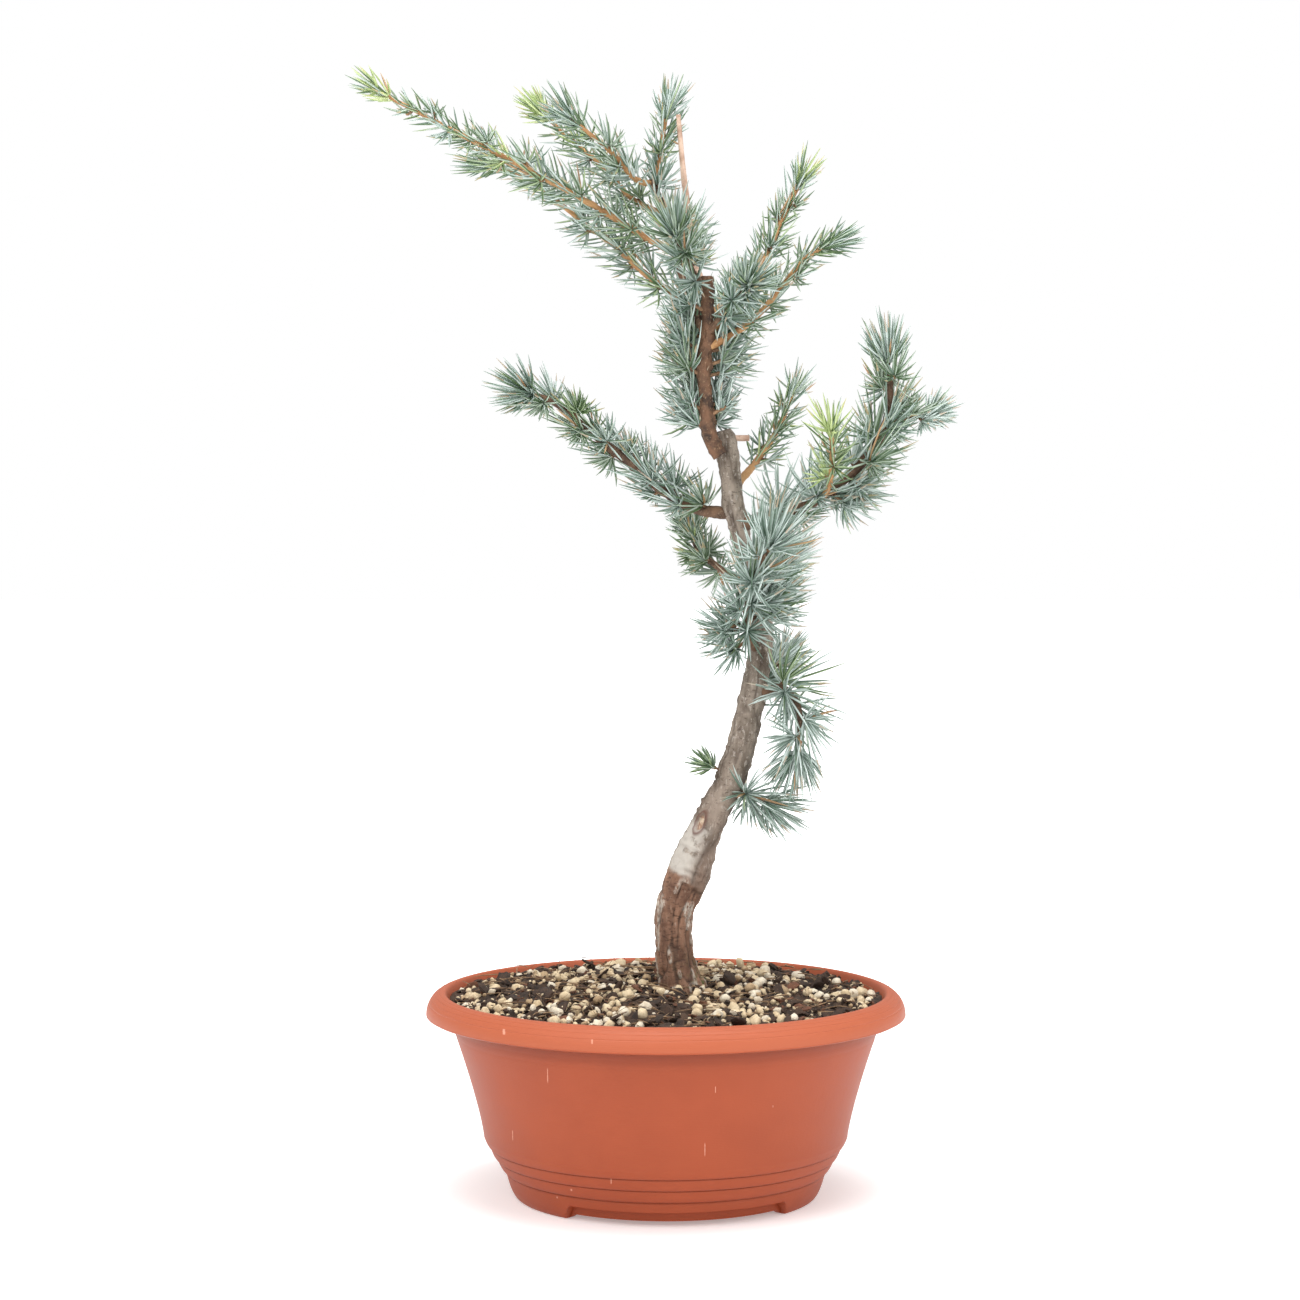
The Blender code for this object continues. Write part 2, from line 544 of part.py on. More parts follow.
def main():
    clear_scene()
    parts = new_collection("Potted blue atlas cedar")
    cutters = new_collection("Cutters")
    materials = {name: new_material(name, *look) for name, look in COLOURS.items()}
    make_bowl(parts, cutters, materials["bowl"])
    make_soil(parts, materials["soil"])
    lines = limb_lines()
    wood = make_wood(lines, parts, cutters, materials)
    axes = mass_axes(lines)
    for name, (axis, radii) in axes.items():
        mass = make_mass(name, axes, parts, materials["needles"])
        for fat, covered in wood.values():
            if near(axis, covered, radii.max() + WOOD_REACH):
                cut(mass, fat)


main()
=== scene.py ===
# Potted blue atlas cedar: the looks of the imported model. Metres, +Z up, front towards -Y.
import math

import bmesh
import bpy
import numpy as np
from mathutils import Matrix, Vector


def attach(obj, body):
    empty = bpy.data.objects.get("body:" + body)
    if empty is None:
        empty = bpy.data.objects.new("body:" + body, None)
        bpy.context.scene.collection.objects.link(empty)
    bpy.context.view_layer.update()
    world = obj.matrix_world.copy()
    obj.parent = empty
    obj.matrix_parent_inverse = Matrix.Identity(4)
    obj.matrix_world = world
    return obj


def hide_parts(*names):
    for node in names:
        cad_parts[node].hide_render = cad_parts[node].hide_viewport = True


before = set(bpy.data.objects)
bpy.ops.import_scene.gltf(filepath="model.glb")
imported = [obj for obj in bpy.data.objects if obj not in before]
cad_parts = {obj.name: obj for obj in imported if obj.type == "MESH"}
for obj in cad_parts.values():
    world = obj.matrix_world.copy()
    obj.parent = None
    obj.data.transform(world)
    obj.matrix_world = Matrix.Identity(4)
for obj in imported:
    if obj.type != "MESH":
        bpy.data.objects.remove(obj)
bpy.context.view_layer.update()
scene = bpy.context.scene
mm = 0.001
print("frame loaded:", len(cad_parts), "nodes")


# Shader values: an expression on them adds Math nodes
class Value:
    def __init__(self, surface, socket):
        self.surface = surface
        self.socket = socket

    def math(self, operation, first, second):
        return self.surface.node("ShaderNodeMath", {"operation": operation}, first, second)

    def __add__(self, other):
        return self.math("ADD", self, other)

    def __radd__(self, other):
        return self.math("ADD", other, self)

    def __sub__(self, other):
        return self.math("SUBTRACT", self, other)

    def __rsub__(self, other):
        return self.math("SUBTRACT", other, self)

    def __mul__(self, other):
        return self.math("MULTIPLY", self, other)

    def __rmul__(self, other):
        return self.math("MULTIPLY", other, self)

    def size(self):
        return self.math("ABSOLUTE", self, 0)

    def orMore(self, other):
        return self.math("MAXIMUM", self, other)


class Surface:
    def __init__(self, name, colour, roughness):
        self.material = bpy.data.materials.new(name)
        self.material.use_nodes = True
        self.tree = self.material.node_tree
        self.shader = self.tree.nodes["Principled BSDF"]
        self.feed(self.shader.inputs["Base Color"], colour)
        self.feed(self.shader.inputs["Roughness"], roughness)

    # Inputs go to the sockets in order; a pair is a socket's index and its value
    def node(self, kind, settings, *inputs, output=0, **named):
        made = self.tree.nodes.new(kind)
        for key, setting in settings.items():
            setattr(made, key, setting)
        for index, value in enumerate(inputs):
            paired = isinstance(value, tuple) and len(value) == 2
            key, value = value if paired else (index, value)
            self.feed(made.inputs[key], value)
        for key, value in named.items():
            self.feed(made.inputs[key], value)
        return Value(self, made.outputs[output])

    def feed(self, socket, value):
        if isinstance(value, Value):
            self.tree.links.new(value.socket, socket)
        elif isinstance(value, tuple) and socket.type == "RGBA":
            socket.default_value = (*value, 1)
        else:
            socket.default_value = value

    def set(self, **named):
        for key, value in named.items():
            self.feed(self.shader.inputs[key.replace("_", " ")], value)

    def place(self):
        return self.node("ShaderNodeTexCoord", {}, output="Object")

    def axis(self, name):
        return self.node("ShaderNodeSeparateXYZ", {}, self.place(), output=name)

    # Noise with grains of one size in metres, drawn out along each axis
    def noise(self, grain, detail=3, rough=0.55, stretch=(1, 1, 1)):
        spread = self.node("ShaderNodeVectorMath", {"operation": "DIVIDE"}, self.place(), stretch)
        inputs = {"Vector": spread, "Scale": 1 / grain, "Detail": detail, "Roughness": rough}
        return self.node("ShaderNodeTexNoise", {}, **inputs)

    # 0 below low, 1 above high and smooth between them
    def rise(self, value, low, high):
        return self.node("ShaderNodeMapRange", {"interpolation_type": "SMOOTHSTEP"}, value, low, high)

    # Colour sockets of a Mix node are its seventh and eighth
    def blendColours(self, share, first, second):
        pairs = ((0, share), (6, first), (7, second))
        return self.node("ShaderNodeMix", {"data_type": "RGBA"}, *pairs, output=2)

    def own(self, name):
        return self.node("ShaderNodeAttribute", {"attribute_name": name}, output="Fac")

    def bump(self, height, distance, strength=1.0):
        self.set(Normal=self.node("ShaderNodeBump", {}, Strength=strength, Distance=distance, Height=height))


# One mesh object that rides on the plant's only body, with its own values on its points
def makePiece(
    name, points, faces, materials, replaced=(), faceMaterials=None, smooth=True, sharp=None, own=None
):
    mesh = bpy.data.meshes.new(name)
    mesh.from_pydata(np.asarray(points).tolist(), [], faces)
    for material in materials:
        mesh.materials.append(material)
    count = len(mesh.polygons)
    if faceMaterials is not None:
        mesh.polygons.foreach_set("material_index", np.asarray(faceMaterials, np.int32).ravel())
    mesh.polygons.foreach_set("use_smooth", np.full(count, smooth))
    if sharp:
        mesh.set_sharp_from_angle(angle=math.radians(sharp))
    for key, values in (own or {}).items():
        attribute = mesh.attributes.new(key, "FLOAT", "POINT")
        attribute.data.foreach_set("value", np.asarray(values, np.float32).ravel())
    mesh.update()
    piece = bpy.data.objects.new(name, mesh)
    scene.collection.objects.link(piece)
    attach(piece, "root")
    if len(replaced):
        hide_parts(*replaced)
    print("made", name, "-", sum(len(face) - 2 for face in faces), "triangles")


# Faces of a grid that runs along its rows and closes round its columns, with a fan at each end
def closedGrid(grid):
    rows, columns = grid.shape[:2]
    row, column = np.meshgrid(np.arange(rows - 1), np.arange(columns), indexing="ij")
    after = (column + 1) % columns
    corners = [row * columns + column, row * columns + after]
    corners += [corners[1] + columns, corners[0] + columns]
    quads = np.stack(corners, axis=-1).reshape(-1, 4)
    turn = np.arange(columns)
    following = (turn + 1) % columns
    first = np.full(columns, rows * columns)
    top = (rows - 1) * columns
    start = np.stack([first, following, turn], axis=1)
    end = np.stack([first + 1, top + turn, top + following], axis=1)
    points = np.vstack([grid.reshape(-1, 3), grid[0].mean(axis=0), grid[-1].mean(axis=0)])
    return points, quads.tolist() + start.tolist() + end.tolist()


# Several meshes as one, each part's corners counted on from the part before
def joined(parts):
    points, faces, offset = [], [], 0
    for partPoints, partFaces in parts:
        points.append(partPoints)
        faces += [[corner + offset for corner in face] for face in partFaces]
        offset += len(partPoints)
    return np.vstack(points), faces


# s^2 (3 - 2 s), where s is the share of the way from low to high, kept between 0 and 1
def smoothStep(value, low, high):
    share = np.clip((value - low) / (high - low), 0, 1)
    return share * share * (3 - 2 * share)


def unit(vectors):
    return vectors / np.linalg.norm(vectors, axis=-1, keepdims=True)


# Value noise on (turns round, distance along): a random lattice, closed round, smoothed between its points
def latticeNoise(turn, distance, cellsRound, cellLength, seed):
    rows = int(np.max(distance) / cellLength) + 3
    lattice = np.random.default_rng(seed).random((rows, cellsRound))
    across = turn * cellsRound
    up = np.maximum(distance, 0) / cellLength
    column = np.floor(across).astype(int)
    row = np.floor(up).astype(int)
    shareAcross = smoothStep(across - column, 0, 1)
    shareUp = smoothStep(up - row, 0, 1)
    column, nextColumn = column % cellsRound, (column + 1) % cellsRound
    low = lattice[row, column] * (1 - shareAcross) + lattice[row, nextColumn] * shareAcross
    high = lattice[row + 1, column] * (1 - shareAcross) + lattice[row + 1, nextColumn] * shareAcross
    return low * (1 - shareUp) + high * shareUp


# Bowl, in millimetres and degrees, with the rows that its profile is cut into
bowlSizes = {
    "height": 85.2, "rimRadius": 100, "mouthRadius": 92.5, "rimDepth": 10, "rimLip": 0.8, "rimLipInset": 1.2,
    "underRim": 90.4, "wall": 2, "shoulderRadius": 76.1, "shoulderHeight": 25, "flarePower": 1.25,
    "creases": ((73.6, 21), (70.7, 15.9), (67, 10.5)), "creaseBulge": 0.5, "creaseDepth": 0.35,
    "creaseWidth": 0.03, "footRadius": 62.5, "footInner": 58, "floorUnderside": 3, "floorTop": 8,
    "floorRadius": 59, "undersideRadii": (6, 20, 35, 48, 56, 57.4), "innerFootHeight": 13.5,
    "archBearings": (-85, 95), "archHalf": 42, "archSlant": 3, "archHeight": 6.2, "archRing": 61,
    "archRingLift": 1.8, "archRows": (0.05, 0.35, 0.65, 0.95), "archDraft": 0.9, "lines": (70.7, 67.5),
    "lineDepth": 0.12, "lineWidth": 0.35, "rimGrooves": (0.35, 0.52, 0.68, 0.83), "rimGrooveDepth": 0.14,
    "rimGrooveWidth": 0.012, "rowLift": 0.002, "innerFloorRadii": (30, 4), "columns": 288, "bandRows": 11,
    "wallRows": 90, "rimRows": 70, "innerRimRows": 8, "innerWallRows": 12,
}
# Plastic colours: the rim colour is painted light, the shade and crease colours painted shade; the rest are
# the plastic's own
plastic = {
    "wall": ((0.310, 0.057, 0.0185), (0.335, 0.064, 0.0215)), "rim": (0.41, 0.100, 0.044),
    "shade": (0.12, 0.018, 0.007), "shadeDepth": 0.0092, "shadeShare": 0.6, "crease": (0.17, 0.034, 0.016),
    "creaseShare": 0.4, "scuff": (0.68, 0.34, 0.24), "scuffShare": 0.75, "wearShare": 0.35, "rough": 0.44,
    "specular": 0.28, "cloud": 0.03, "grain": 0.0012, "ringsPerMetre": 9000, "bump": 0.00008,
}
# Scuffs on the front: distance to the right of the axis, height, half width, half height
scuffs = (
    (-64, 80.5, 0.7, 1.2), (-47, 62.5, 0.22, 3.6), (-62, 33.5, 0.2, 2.6), (15, 34, 0.2, 3.2),
    (19, 59, 0.2, 1.6), (-38, 14, 0.5, 0.6), (-44, 9, 0.4, 0.5), (-22, 20, 0.25, 1.4), (-29, 80, 0.4, 1),
    (42, 50, 0.2, 0.5),
)


# Shoulder radius plus the flare times a power of the share of the way up
def wallRadius(height):
    b = bowlSizes
    tall = b["height"] - b["rimDepth"] - b["shoulderHeight"]
    share = np.clip((height - b["shoulderHeight"]) / tall, 0, 1)
    return b["shoulderRadius"] + (b["underRim"] - b["shoulderRadius"]) * share ** b["flarePower"]


# Clouded wall colour, a rim painted paler as lit, painted shade under it and in the creases, and pale scuffs
def plasticSurface():
    p = plastic
    s = Surface("terracotta plastic", p["rim"], p["rough"])
    cloud, fine = s.noise(p["cloud"], 4), s.noise(p["grain"], 2)
    x, y, z = s.axis("X"), s.axis("Y"), s.axis("Z")
    rimFoot = (bowlSizes["height"] - bowlSizes["rimDepth"]) * mm
    colour = s.blendColours(s.rise(cloud, 0.3, 0.7), *p["wall"])
    # Painted light: the rim is painted paler where light falls on its top
    colour = s.blendColours(s.rise(z, rimFoot + 0.2 * mm, rimFoot + 1.6 * mm), colour, p["rim"])
    # Painted shade: a dark band on the wall just under the rim, where the rim casts its shade
    underRimShade = s.rise(z, rimFoot - p["shadeDepth"], rimFoot) * s.rise(z, rimFoot + 0.4 * mm, rimFoot + 0.2 * mm)
    colour = s.blendColours(underRimShade * p["shadeShare"], colour, p["shade"])
    marks = s.rise(s.noise(0.0035, 5, 0.7, (1, 1, 6)), 0.70, 0.78) * p["wearShare"]
    for across, height, wide, tall in scuffs:
        wide, tall = wide * mm, tall * mm
        side = s.rise((x - across * mm).size() + (fine - 0.5) * wide, wide, wide * 0.3)
        level = s.rise((z - height * mm).size(), tall, tall * 0.6)
        marks = marks.orMore(side * level * s.rise(y, 0.0, -0.005) * p["scuffShare"])
    # Painted shade: the creases are darkened where shade falls in them
    creases = 0
    for _, height in bowlSizes["creases"]:
        creases = creases + s.rise((z - height * mm).size(), 0.9 * mm, 0.2 * mm) * p["creaseShare"]
    colour = s.blendColours(creases, colour, p["crease"])
    roughness = p["rough"] + cloud * 0.14 + marks * 0.2
    s.set(Base_Color=s.blendColours(marks, colour, p["scuff"]), Roughness=roughness)
    s.set(Specular_IOR_Level=p["specular"])
    rings = s.node("ShaderNodeMath", {"operation": "SINE"}, z * p["ringsPerMetre"])
    s.bump(rings * 0.15 + fine * 0.5 + s.noise(0.006, 2) * 1.2, p["bump"], 0.6)
    return s.material


# Column by column the wall's own profile: underside, foot with its arch, creased bands, flared wall,
# rounded rim with grooves, and the inside down to the floor
def makeBowl():
    b = bowlSizes
    bearing = np.degrees(np.arange(b["columns"]) * 2 * math.pi / b["columns"])
    arch = np.zeros(b["columns"])
    for middle in b["archBearings"]:
        away = np.abs((bearing - middle + 180) % 360 - 180)
        arch = np.maximum(arch, np.clip((b["archHalf"] + b["archSlant"] - away) / b["archSlant"], 0, 1))
    outerLift, innerLift = arch * b["archHeight"], arch * b["archRingLift"]
    ones = np.ones(b["columns"])
    radii, heights = [], []

    def add(radius, height):
        radii.append(radius * ones)
        heights.append(height * ones)

    for radius in b["undersideRadii"]:
        add(radius, b["floorUnderside"])
    add(b["footInner"] - 0.1, innerLift + 0.5 * (1 - arch))
    for share in b["archRows"]:
        add(b["footInner"] + (b["archRing"] - b["footInner"]) * share, innerLift)
    for share in (0.04, 0.96):
        add(b["archRing"], innerLift + (outerLift - innerLift) * share)

    ends = [(b["footRadius"], 0), *reversed(b["creases"]), (b["shoulderRadius"], b["shoulderHeight"])]
    shares = np.concatenate([[0.01, 0.04], (np.arange(b["bandRows"]) + 0.5) / b["bandRows"], [0.985]])
    for (radius, height), (nextRadius, nextHeight) in zip(ends[:-1], ends[1:]):
        wider, taller = nextRadius - radius, nextHeight - height
        for share in shares:
            up = height + taller * share
            bulge = wider * (math.sqrt(1 - (1 - share) ** 2) - share) * b["creaseBulge"]
            pinch = 0
            if nextHeight < b["shoulderHeight"]:
                pinch = -b["creaseDepth"] * math.exp(-(((1 - share) / b["creaseWidth"]) ** 2))
            inset = np.where(up < outerLift, (outerLift - up) * wider / taller * b["archDraft"], 0)
            even = radius + wider * share
            add(even + bulge + pinch + inset, np.maximum(up, outerLift) + up * b["rowLift"])
    rimFoot = b["height"] - b["rimDepth"]
    for height in np.linspace(b["shoulderHeight"] + 0.4, rimFoot - 0.3, b["wallRows"]):
        line = sum(math.exp(-(((height - level) / b["lineWidth"]) ** 2)) for level in b["lines"])
        add(wallRadius(height) - b["lineDepth"] * line, height)
    add(b["underRim"] + 0.3, rimFoot - 0.05)
    add((b["underRim"] + b["rimRadius"]) / 2, rimFoot)
    add(b["rimRadius"] - b["rimLipInset"] - 0.5, rimFoot)
    add(b["rimRadius"] - b["rimLipInset"], rimFoot + 0.15)
    for share in np.linspace(0, 1, b["rimRows"]):
        angle = math.radians(90 * (1 - share))
        groove = sum(math.exp(-(((share - at) / b["rimGrooveWidth"]) ** 2)) for at in b["rimGrooves"])
        groove = b["rimGrooveDepth"] * groove
        radius = b["mouthRadius"] + (b["rimRadius"] - b["mouthRadius"]) * math.sin(angle)
        height = b["height"] - (b["rimDepth"] - b["rimLip"]) * (1 - math.cos(angle))
        add(radius - groove * math.sin(angle), height - groove * math.cos(angle))
    add(b["mouthRadius"] - 0.5, b["height"] - 0.25)
    inner = b["mouthRadius"] - 0.6
    for height in np.linspace(b["height"] - 1.2, rimFoot, b["innerRimRows"]):
        share = (b["height"] - height) / b["rimDepth"]
        add(inner + (b["underRim"] - b["wall"] - inner) * share, height)
    for height in np.linspace(rimFoot - 2, b["shoulderHeight"], b["innerWallRows"]):
        add(wallRadius(height) - b["wall"], height)
    add(b["creases"][2][0] - b["wall"], b["innerFootHeight"])
    for radius in (b["floorRadius"], *b["innerFloorRadii"]):
        add(radius, b["floorTop"])
    angle = np.radians(bearing)
    radius, height = np.array(radii) * mm, np.array(heights) * mm
    grid = np.stack([radius * np.cos(angle), radius * np.sin(angle), height], axis=-1)
    points, faces = closedGrid(grid)
    makePiece("bowl_shell", points, faces, [plasticSurface()], ["bowl"], sharp=50)


makeBowl()

# Potting mix, in millimetres
soilSizes = {
    "edgeHeight": 81.5, "top": 86, "crown": 19, "edgeRadius": 90.1, "sunk": 0.3, "gap": 0.6, "rimGap": 0.4,
    "columns": 240, "rings": 80, "waves": 30, "waveLengths": (3, 16), "waveHeight": 0.3, "seed": 41,
    "spread": 87.5, "spreadEdge": 89, "trunkAt": (6.8, 0), "trunkClear": 10.5, "bitSeed": 5,
}
# Looks of mix, stones and wood, in metres: broad noise, the levels between its two patches, fine noise, the
# levels and share of its specks, roughness and what fine noise adds, shares of both in the bump, and the bump
grainLooks = {
    "mix": (
        (0.004, 6, 0.7), (0.35, 0.65), (0.0009, 4, 0.7), (0.58, 0.72), 0.6,
        (0.72, 0.25), (1, 0.5), (0.0012, 0.9),
    ),
    "stone": (
        (0.003, 3, 0.55), (0.3, 0.75), (0.0006, 3, 0.6), (0.6, 0.72), 0.45,
        (0.8, 0.15), (0, 1), (0.0004, 0.8),
    ),
    "wood": (
        (0.006, 4, 0.6), (0.32, 0.68), (0.0009, 4, 0.65), (0.55, 0.68), 0.6,
        (0.62, 0.28), (0.4, 1), (0.0003, 0.8),
    ),
}
mixColours = ((0.018, 0.010, 0.007), (0.075, 0.040, 0.022), (0.16, 0.09, 0.045))
pitColour = (0.22, 0.15, 0.09)
stones = {
    "cream": ("pumice, cream", (0.70, 0.57, 0.38), (0.50, 0.37, 0.22)),
    "pale": ("pumice, pale", (0.76, 0.68, 0.54), (0.56, 0.46, 0.33)),
    "tan": ("pumice, tan", (0.48, 0.34, 0.20), (0.34, 0.23, 0.13)),
    "chip": ("bark chips", (0.055, 0.028, 0.016), (0.02, 0.012, 0.008)),
    "rust": ("bark chips, red brown", (0.16, 0.06, 0.03), (0.07, 0.03, 0.015)),
    "moss": ("moss crumbs", (0.07, 0.10, 0.025), (0.03, 0.05, 0.012)),
}
# Loose bits: number tried, size and the power that favours small ones, clearance, width and thickness as
# shares of size, lift above the mix, tilt, and the stones with the share of each
looseBits = {
    "pumice_grains": {
        "tried": 4200, "size": (1.7, 5.6), "power": 1.9, "clear": 0.8, "wide": (0.85, 1.25),
        "flat": (0.6, 0.95), "lift": 0.17, "tilt": 1, "stones": ("cream", "pale", "tan"),
        "shares": (0.62, 0.25, 0.13),
    },
    "bark_chips": {
        "tried": 1700, "size": (1.8, 6.5), "power": 2.4, "clear": 0.5, "wide": (0.8, 1.8),
        "flat": (0.2, 0.42), "lift": 0.1, "tilt": 0.22, "stones": ("chip", "rust", "moss"),
        "shares": (0.86, 0.132, 0.008),
    },
    "small_crumbs": {
        "tried": 2400, "size": (0.8, 2.0), "power": 1.0, "clear": 0.5, "wide": (0.8, 1.4), "flat": (0.5, 1),
        "lift": 0.2, "tilt": 1, "stones": ("cream", "chip", "rust"), "shares": (0.34, 0.5, 0.16),
    },
}
soilRandom = np.random.default_rng(soilSizes["seed"])
waveWays = soilRandom.normal(0, 1, (soilSizes["waves"], 2))
waveLengths = soilRandom.uniform(*soilSizes["waveLengths"], (soilSizes["waves"], 1))
waveWays = unit(waveWays) * (2 * math.pi / waveLengths)
waveStarts = soilRandom.uniform(0, 2 * math.pi, soilSizes["waves"])


# Height of the mix in millimetres: flat round the trunk, falling as the square of the distance, with crumbs
# as a sum of short waves
def soilHeight(x, y):
    s = soilSizes
    radius = np.hypot(x, y)
    share = np.clip((radius - s["crown"]) / (s["edgeRadius"] - s["crown"]), 0, 1)
    crumbs = np.sin(x[..., None] * waveWays[:, 0] + y[..., None] * waveWays[:, 1] + waveStarts).sum(axis=-1)
    return s["top"] - (s["top"] - s["edgeHeight"]) * share**2 + crumbs * s["waveHeight"] - s["sunk"]


# Patches of two colours by the broad noise, and specks of a third by the fine noise
def grainSurface(name, look, first, second, speck, grain=None):
    broadNoise, patches, fineNoise, specks, share, (rough, rougher), relief, bump = grainLooks[look]
    s = Surface(name, second, rough)
    broad, fine = s.noise(*broadNoise), s.noise(grain or fineNoise[0], *fineNoise[1:])
    colour = s.blendColours(s.rise(broad, *patches), first, second)
    colour = s.blendColours(s.rise(fine, *specks) * share, colour, speck)
    s.set(Base_Color=colour, Roughness=rough + fine * rougher)
    s.bump(broad * relief[0] + fine * relief[1], *bump)
    return s.material


# Lumps: one rounded block, each corner moved in or out, scaled, turned and set down at its place
def lumpMesh(places, scales, seed, tilt):
    shape = bmesh.new()
    bmesh.ops.create_icosphere(shape, subdivisions=2, radius=1)
    ball = np.array([vert.co for vert in shape.verts])
    faces = np.array([[vert.index for vert in face.verts] for face in shape.faces])
    shape.free()
    random = np.random.default_rng(seed)
    count, blockiness, uneven = len(places), 0.8, 0.16
    blocky = np.sign(ball) * np.abs(ball) ** blockiness
    reach = 1 + random.uniform(-uneven, uneven, (count, len(ball), 1))
    points = blocky[None] * reach * scales[:, None]
    turn = unit(random.normal(0, 1, (count, 4)) * (1, tilt, tilt, 1))
    w, x, y, z = turn.T
    spin = np.array([
        [1 - 2 * (y * y + z * z), 2 * (x * y - z * w), 2 * (x * z + y * w)],
        [2 * (x * y + z * w), 1 - 2 * (x * x + z * z), 2 * (y * z - x * w)],
        [2 * (x * z - y * w), 2 * (y * z + x * w), 1 - 2 * (x * x + y * y)],
    ]).transpose(2, 0, 1)
    points = np.einsum("nij,nkj->nki", spin, points) + places[:, None]
    faces = faces[None] + (np.arange(count) * len(ball))[:, None, None]
    return points.reshape(-1, 3) * mm, faces.reshape(-1, 3).tolist()


# Places spread over the mix, each kept clear of those before it by a share of their sizes; patchy ones are
# sparser where a sum of three long waves is high
def scatter(bits, random, patchy):
    s = soilSizes
    low, high = bits["size"]
    places, sizes = np.empty((0, 2)), np.empty(0)
    for _ in range(bits["tried"]):
        radius = s["spread"] * math.sqrt(random.random())
        bearing = random.uniform(0, 2 * math.pi)
        x, y = radius * math.cos(bearing), radius * math.sin(bearing)
        size = low + (high - low) * random.random() ** bits["power"]
        patch = math.sin(x / 9.5 + 1.3) + math.sin(y / 7.5 + x / 31) + math.sin((x + y) / 13)
        if patchy and random.random() * 2.2 < patch + 1.0:
            continue
        fromTrunk = math.hypot(x - s["trunkAt"][0], y - s["trunkAt"][1])
        if fromTrunk < s["trunkClear"] + size / 2 or radius + size / 2 > s["spreadEdge"]:
            continue
        apart = np.linalg.norm(places - (x, y), axis=1)
        if (apart < bits["clear"] * (sizes + size) / 2).any():
            continue
        places, sizes = np.vstack([places, (x, y)]), np.append(sizes, size)
    return places, sizes


# Mix: a body that follows the inside of the bowl a small gap away, closed by the mounded top, with loose
# bits set into it
def makeSoil():
    s, b = soilSizes, bowlSizes
    angle = np.arange(s["columns"]) * 2 * math.pi / s["columns"]
    inset = b["wall"] + s["gap"]
    rows = [(radius, b["floorTop"] + 0.3) for radius in (20, 58)]
    rows += [(b["creases"][2][0] - inset, b["innerFootHeight"])]
    rows += [(wallRadius(height) - inset, height) for height in np.linspace(25, 75, 6)]
    rows += [(b["underRim"] - b["wall"] - s["rimGap"], 76.5), (s["edgeRadius"] - 0.1, 80.2)]
    rows += [(radius, None) for radius in np.linspace(s["edgeRadius"], 1, s["rings"])]
    sides = []
    for radius, height in rows:
        x, y = radius * np.cos(angle), radius * np.sin(angle)
        height = soilHeight(x, y) if height is None else np.full_like(angle, height)
        sides.append(np.stack([x, y, height], axis=-1))
    points, faces = closedGrid(np.array(sides) * mm)
    surface = grainSurface("damp potting mix", "mix", *mixColours)
    makePiece("mix_body", points, faces, [surface], ["potting_mix"])

    surfaces = {key: grainSurface(name, "stone", *pair, pitColour) for key, (name, *pair) in stones.items()}
    random = np.random.default_rng(s["bitSeed"])
    for name, bits in looseBits.items():
        pumice = name == "pumice_grains"
        places, sizes = scatter(bits, random, pumice)
        total = len(sizes)
        wide, flat = random.uniform(*bits["wide"], total), random.uniform(*bits["flat"], total)
        scales = np.stack([wide, np.ones(total), flat], axis=1) * sizes[:, None] / 2
        height = soilHeight(places[:, 0], places[:, 1]) + sizes * bits["lift"]
        centres = np.column_stack([places, height])
        points, faces = lumpMesh(centres, scales, random.integers(1, 9999), bits["tilt"])
        chosen = random.choice(len(bits["stones"]), total, p=bits["shares"])
        chosen = np.repeat(chosen, len(faces) // total)
        materials = [surfaces[key] for key in bits["stones"]]
        makePiece(name, points, faces, materials, faceMaterials=chosen, smooth=pumice)


makeSoil()

# Trunk and leader, in millimetres and degrees; right and back are leans from upright along the way
trunkSizes = {
    "foot": (6.8, 0, 86.3), "length": 242, "right": (-16, -5, 21, 22, 28, 17, 12, 12, -4, -21, -13, -5, -16),
    "back": (-3, -2, 8, -4, -3), "radii": (7.9, 7.8, 7.6, 6.3, 5.8, 5, 4.5, 4.6, 5.1), "flare": 2.1,
    "flareReach": 7, "graftAt": 49, "graftSwell": 1.4, "graftReach": 13, "step": 0.5, "columns": 110,
    "woundAt": 71, "woundBearing": -122, "woundTall": 5.2, "woundWide": 2.3, "woundRadius": 7, "sunk": 2.5,
}
leaderSizes = {
    "at": 234, "offset": (-3.5, -5.5, -2), "length": 74, "right": (-34, -4, -4, 10, -3, 0),
    "back": (-2, 1, 5), "radii": (3.1, 3, 2.8, 2.5, 2.4), "step": 0.45, "columns": 60, "sunk": 1.5,
}
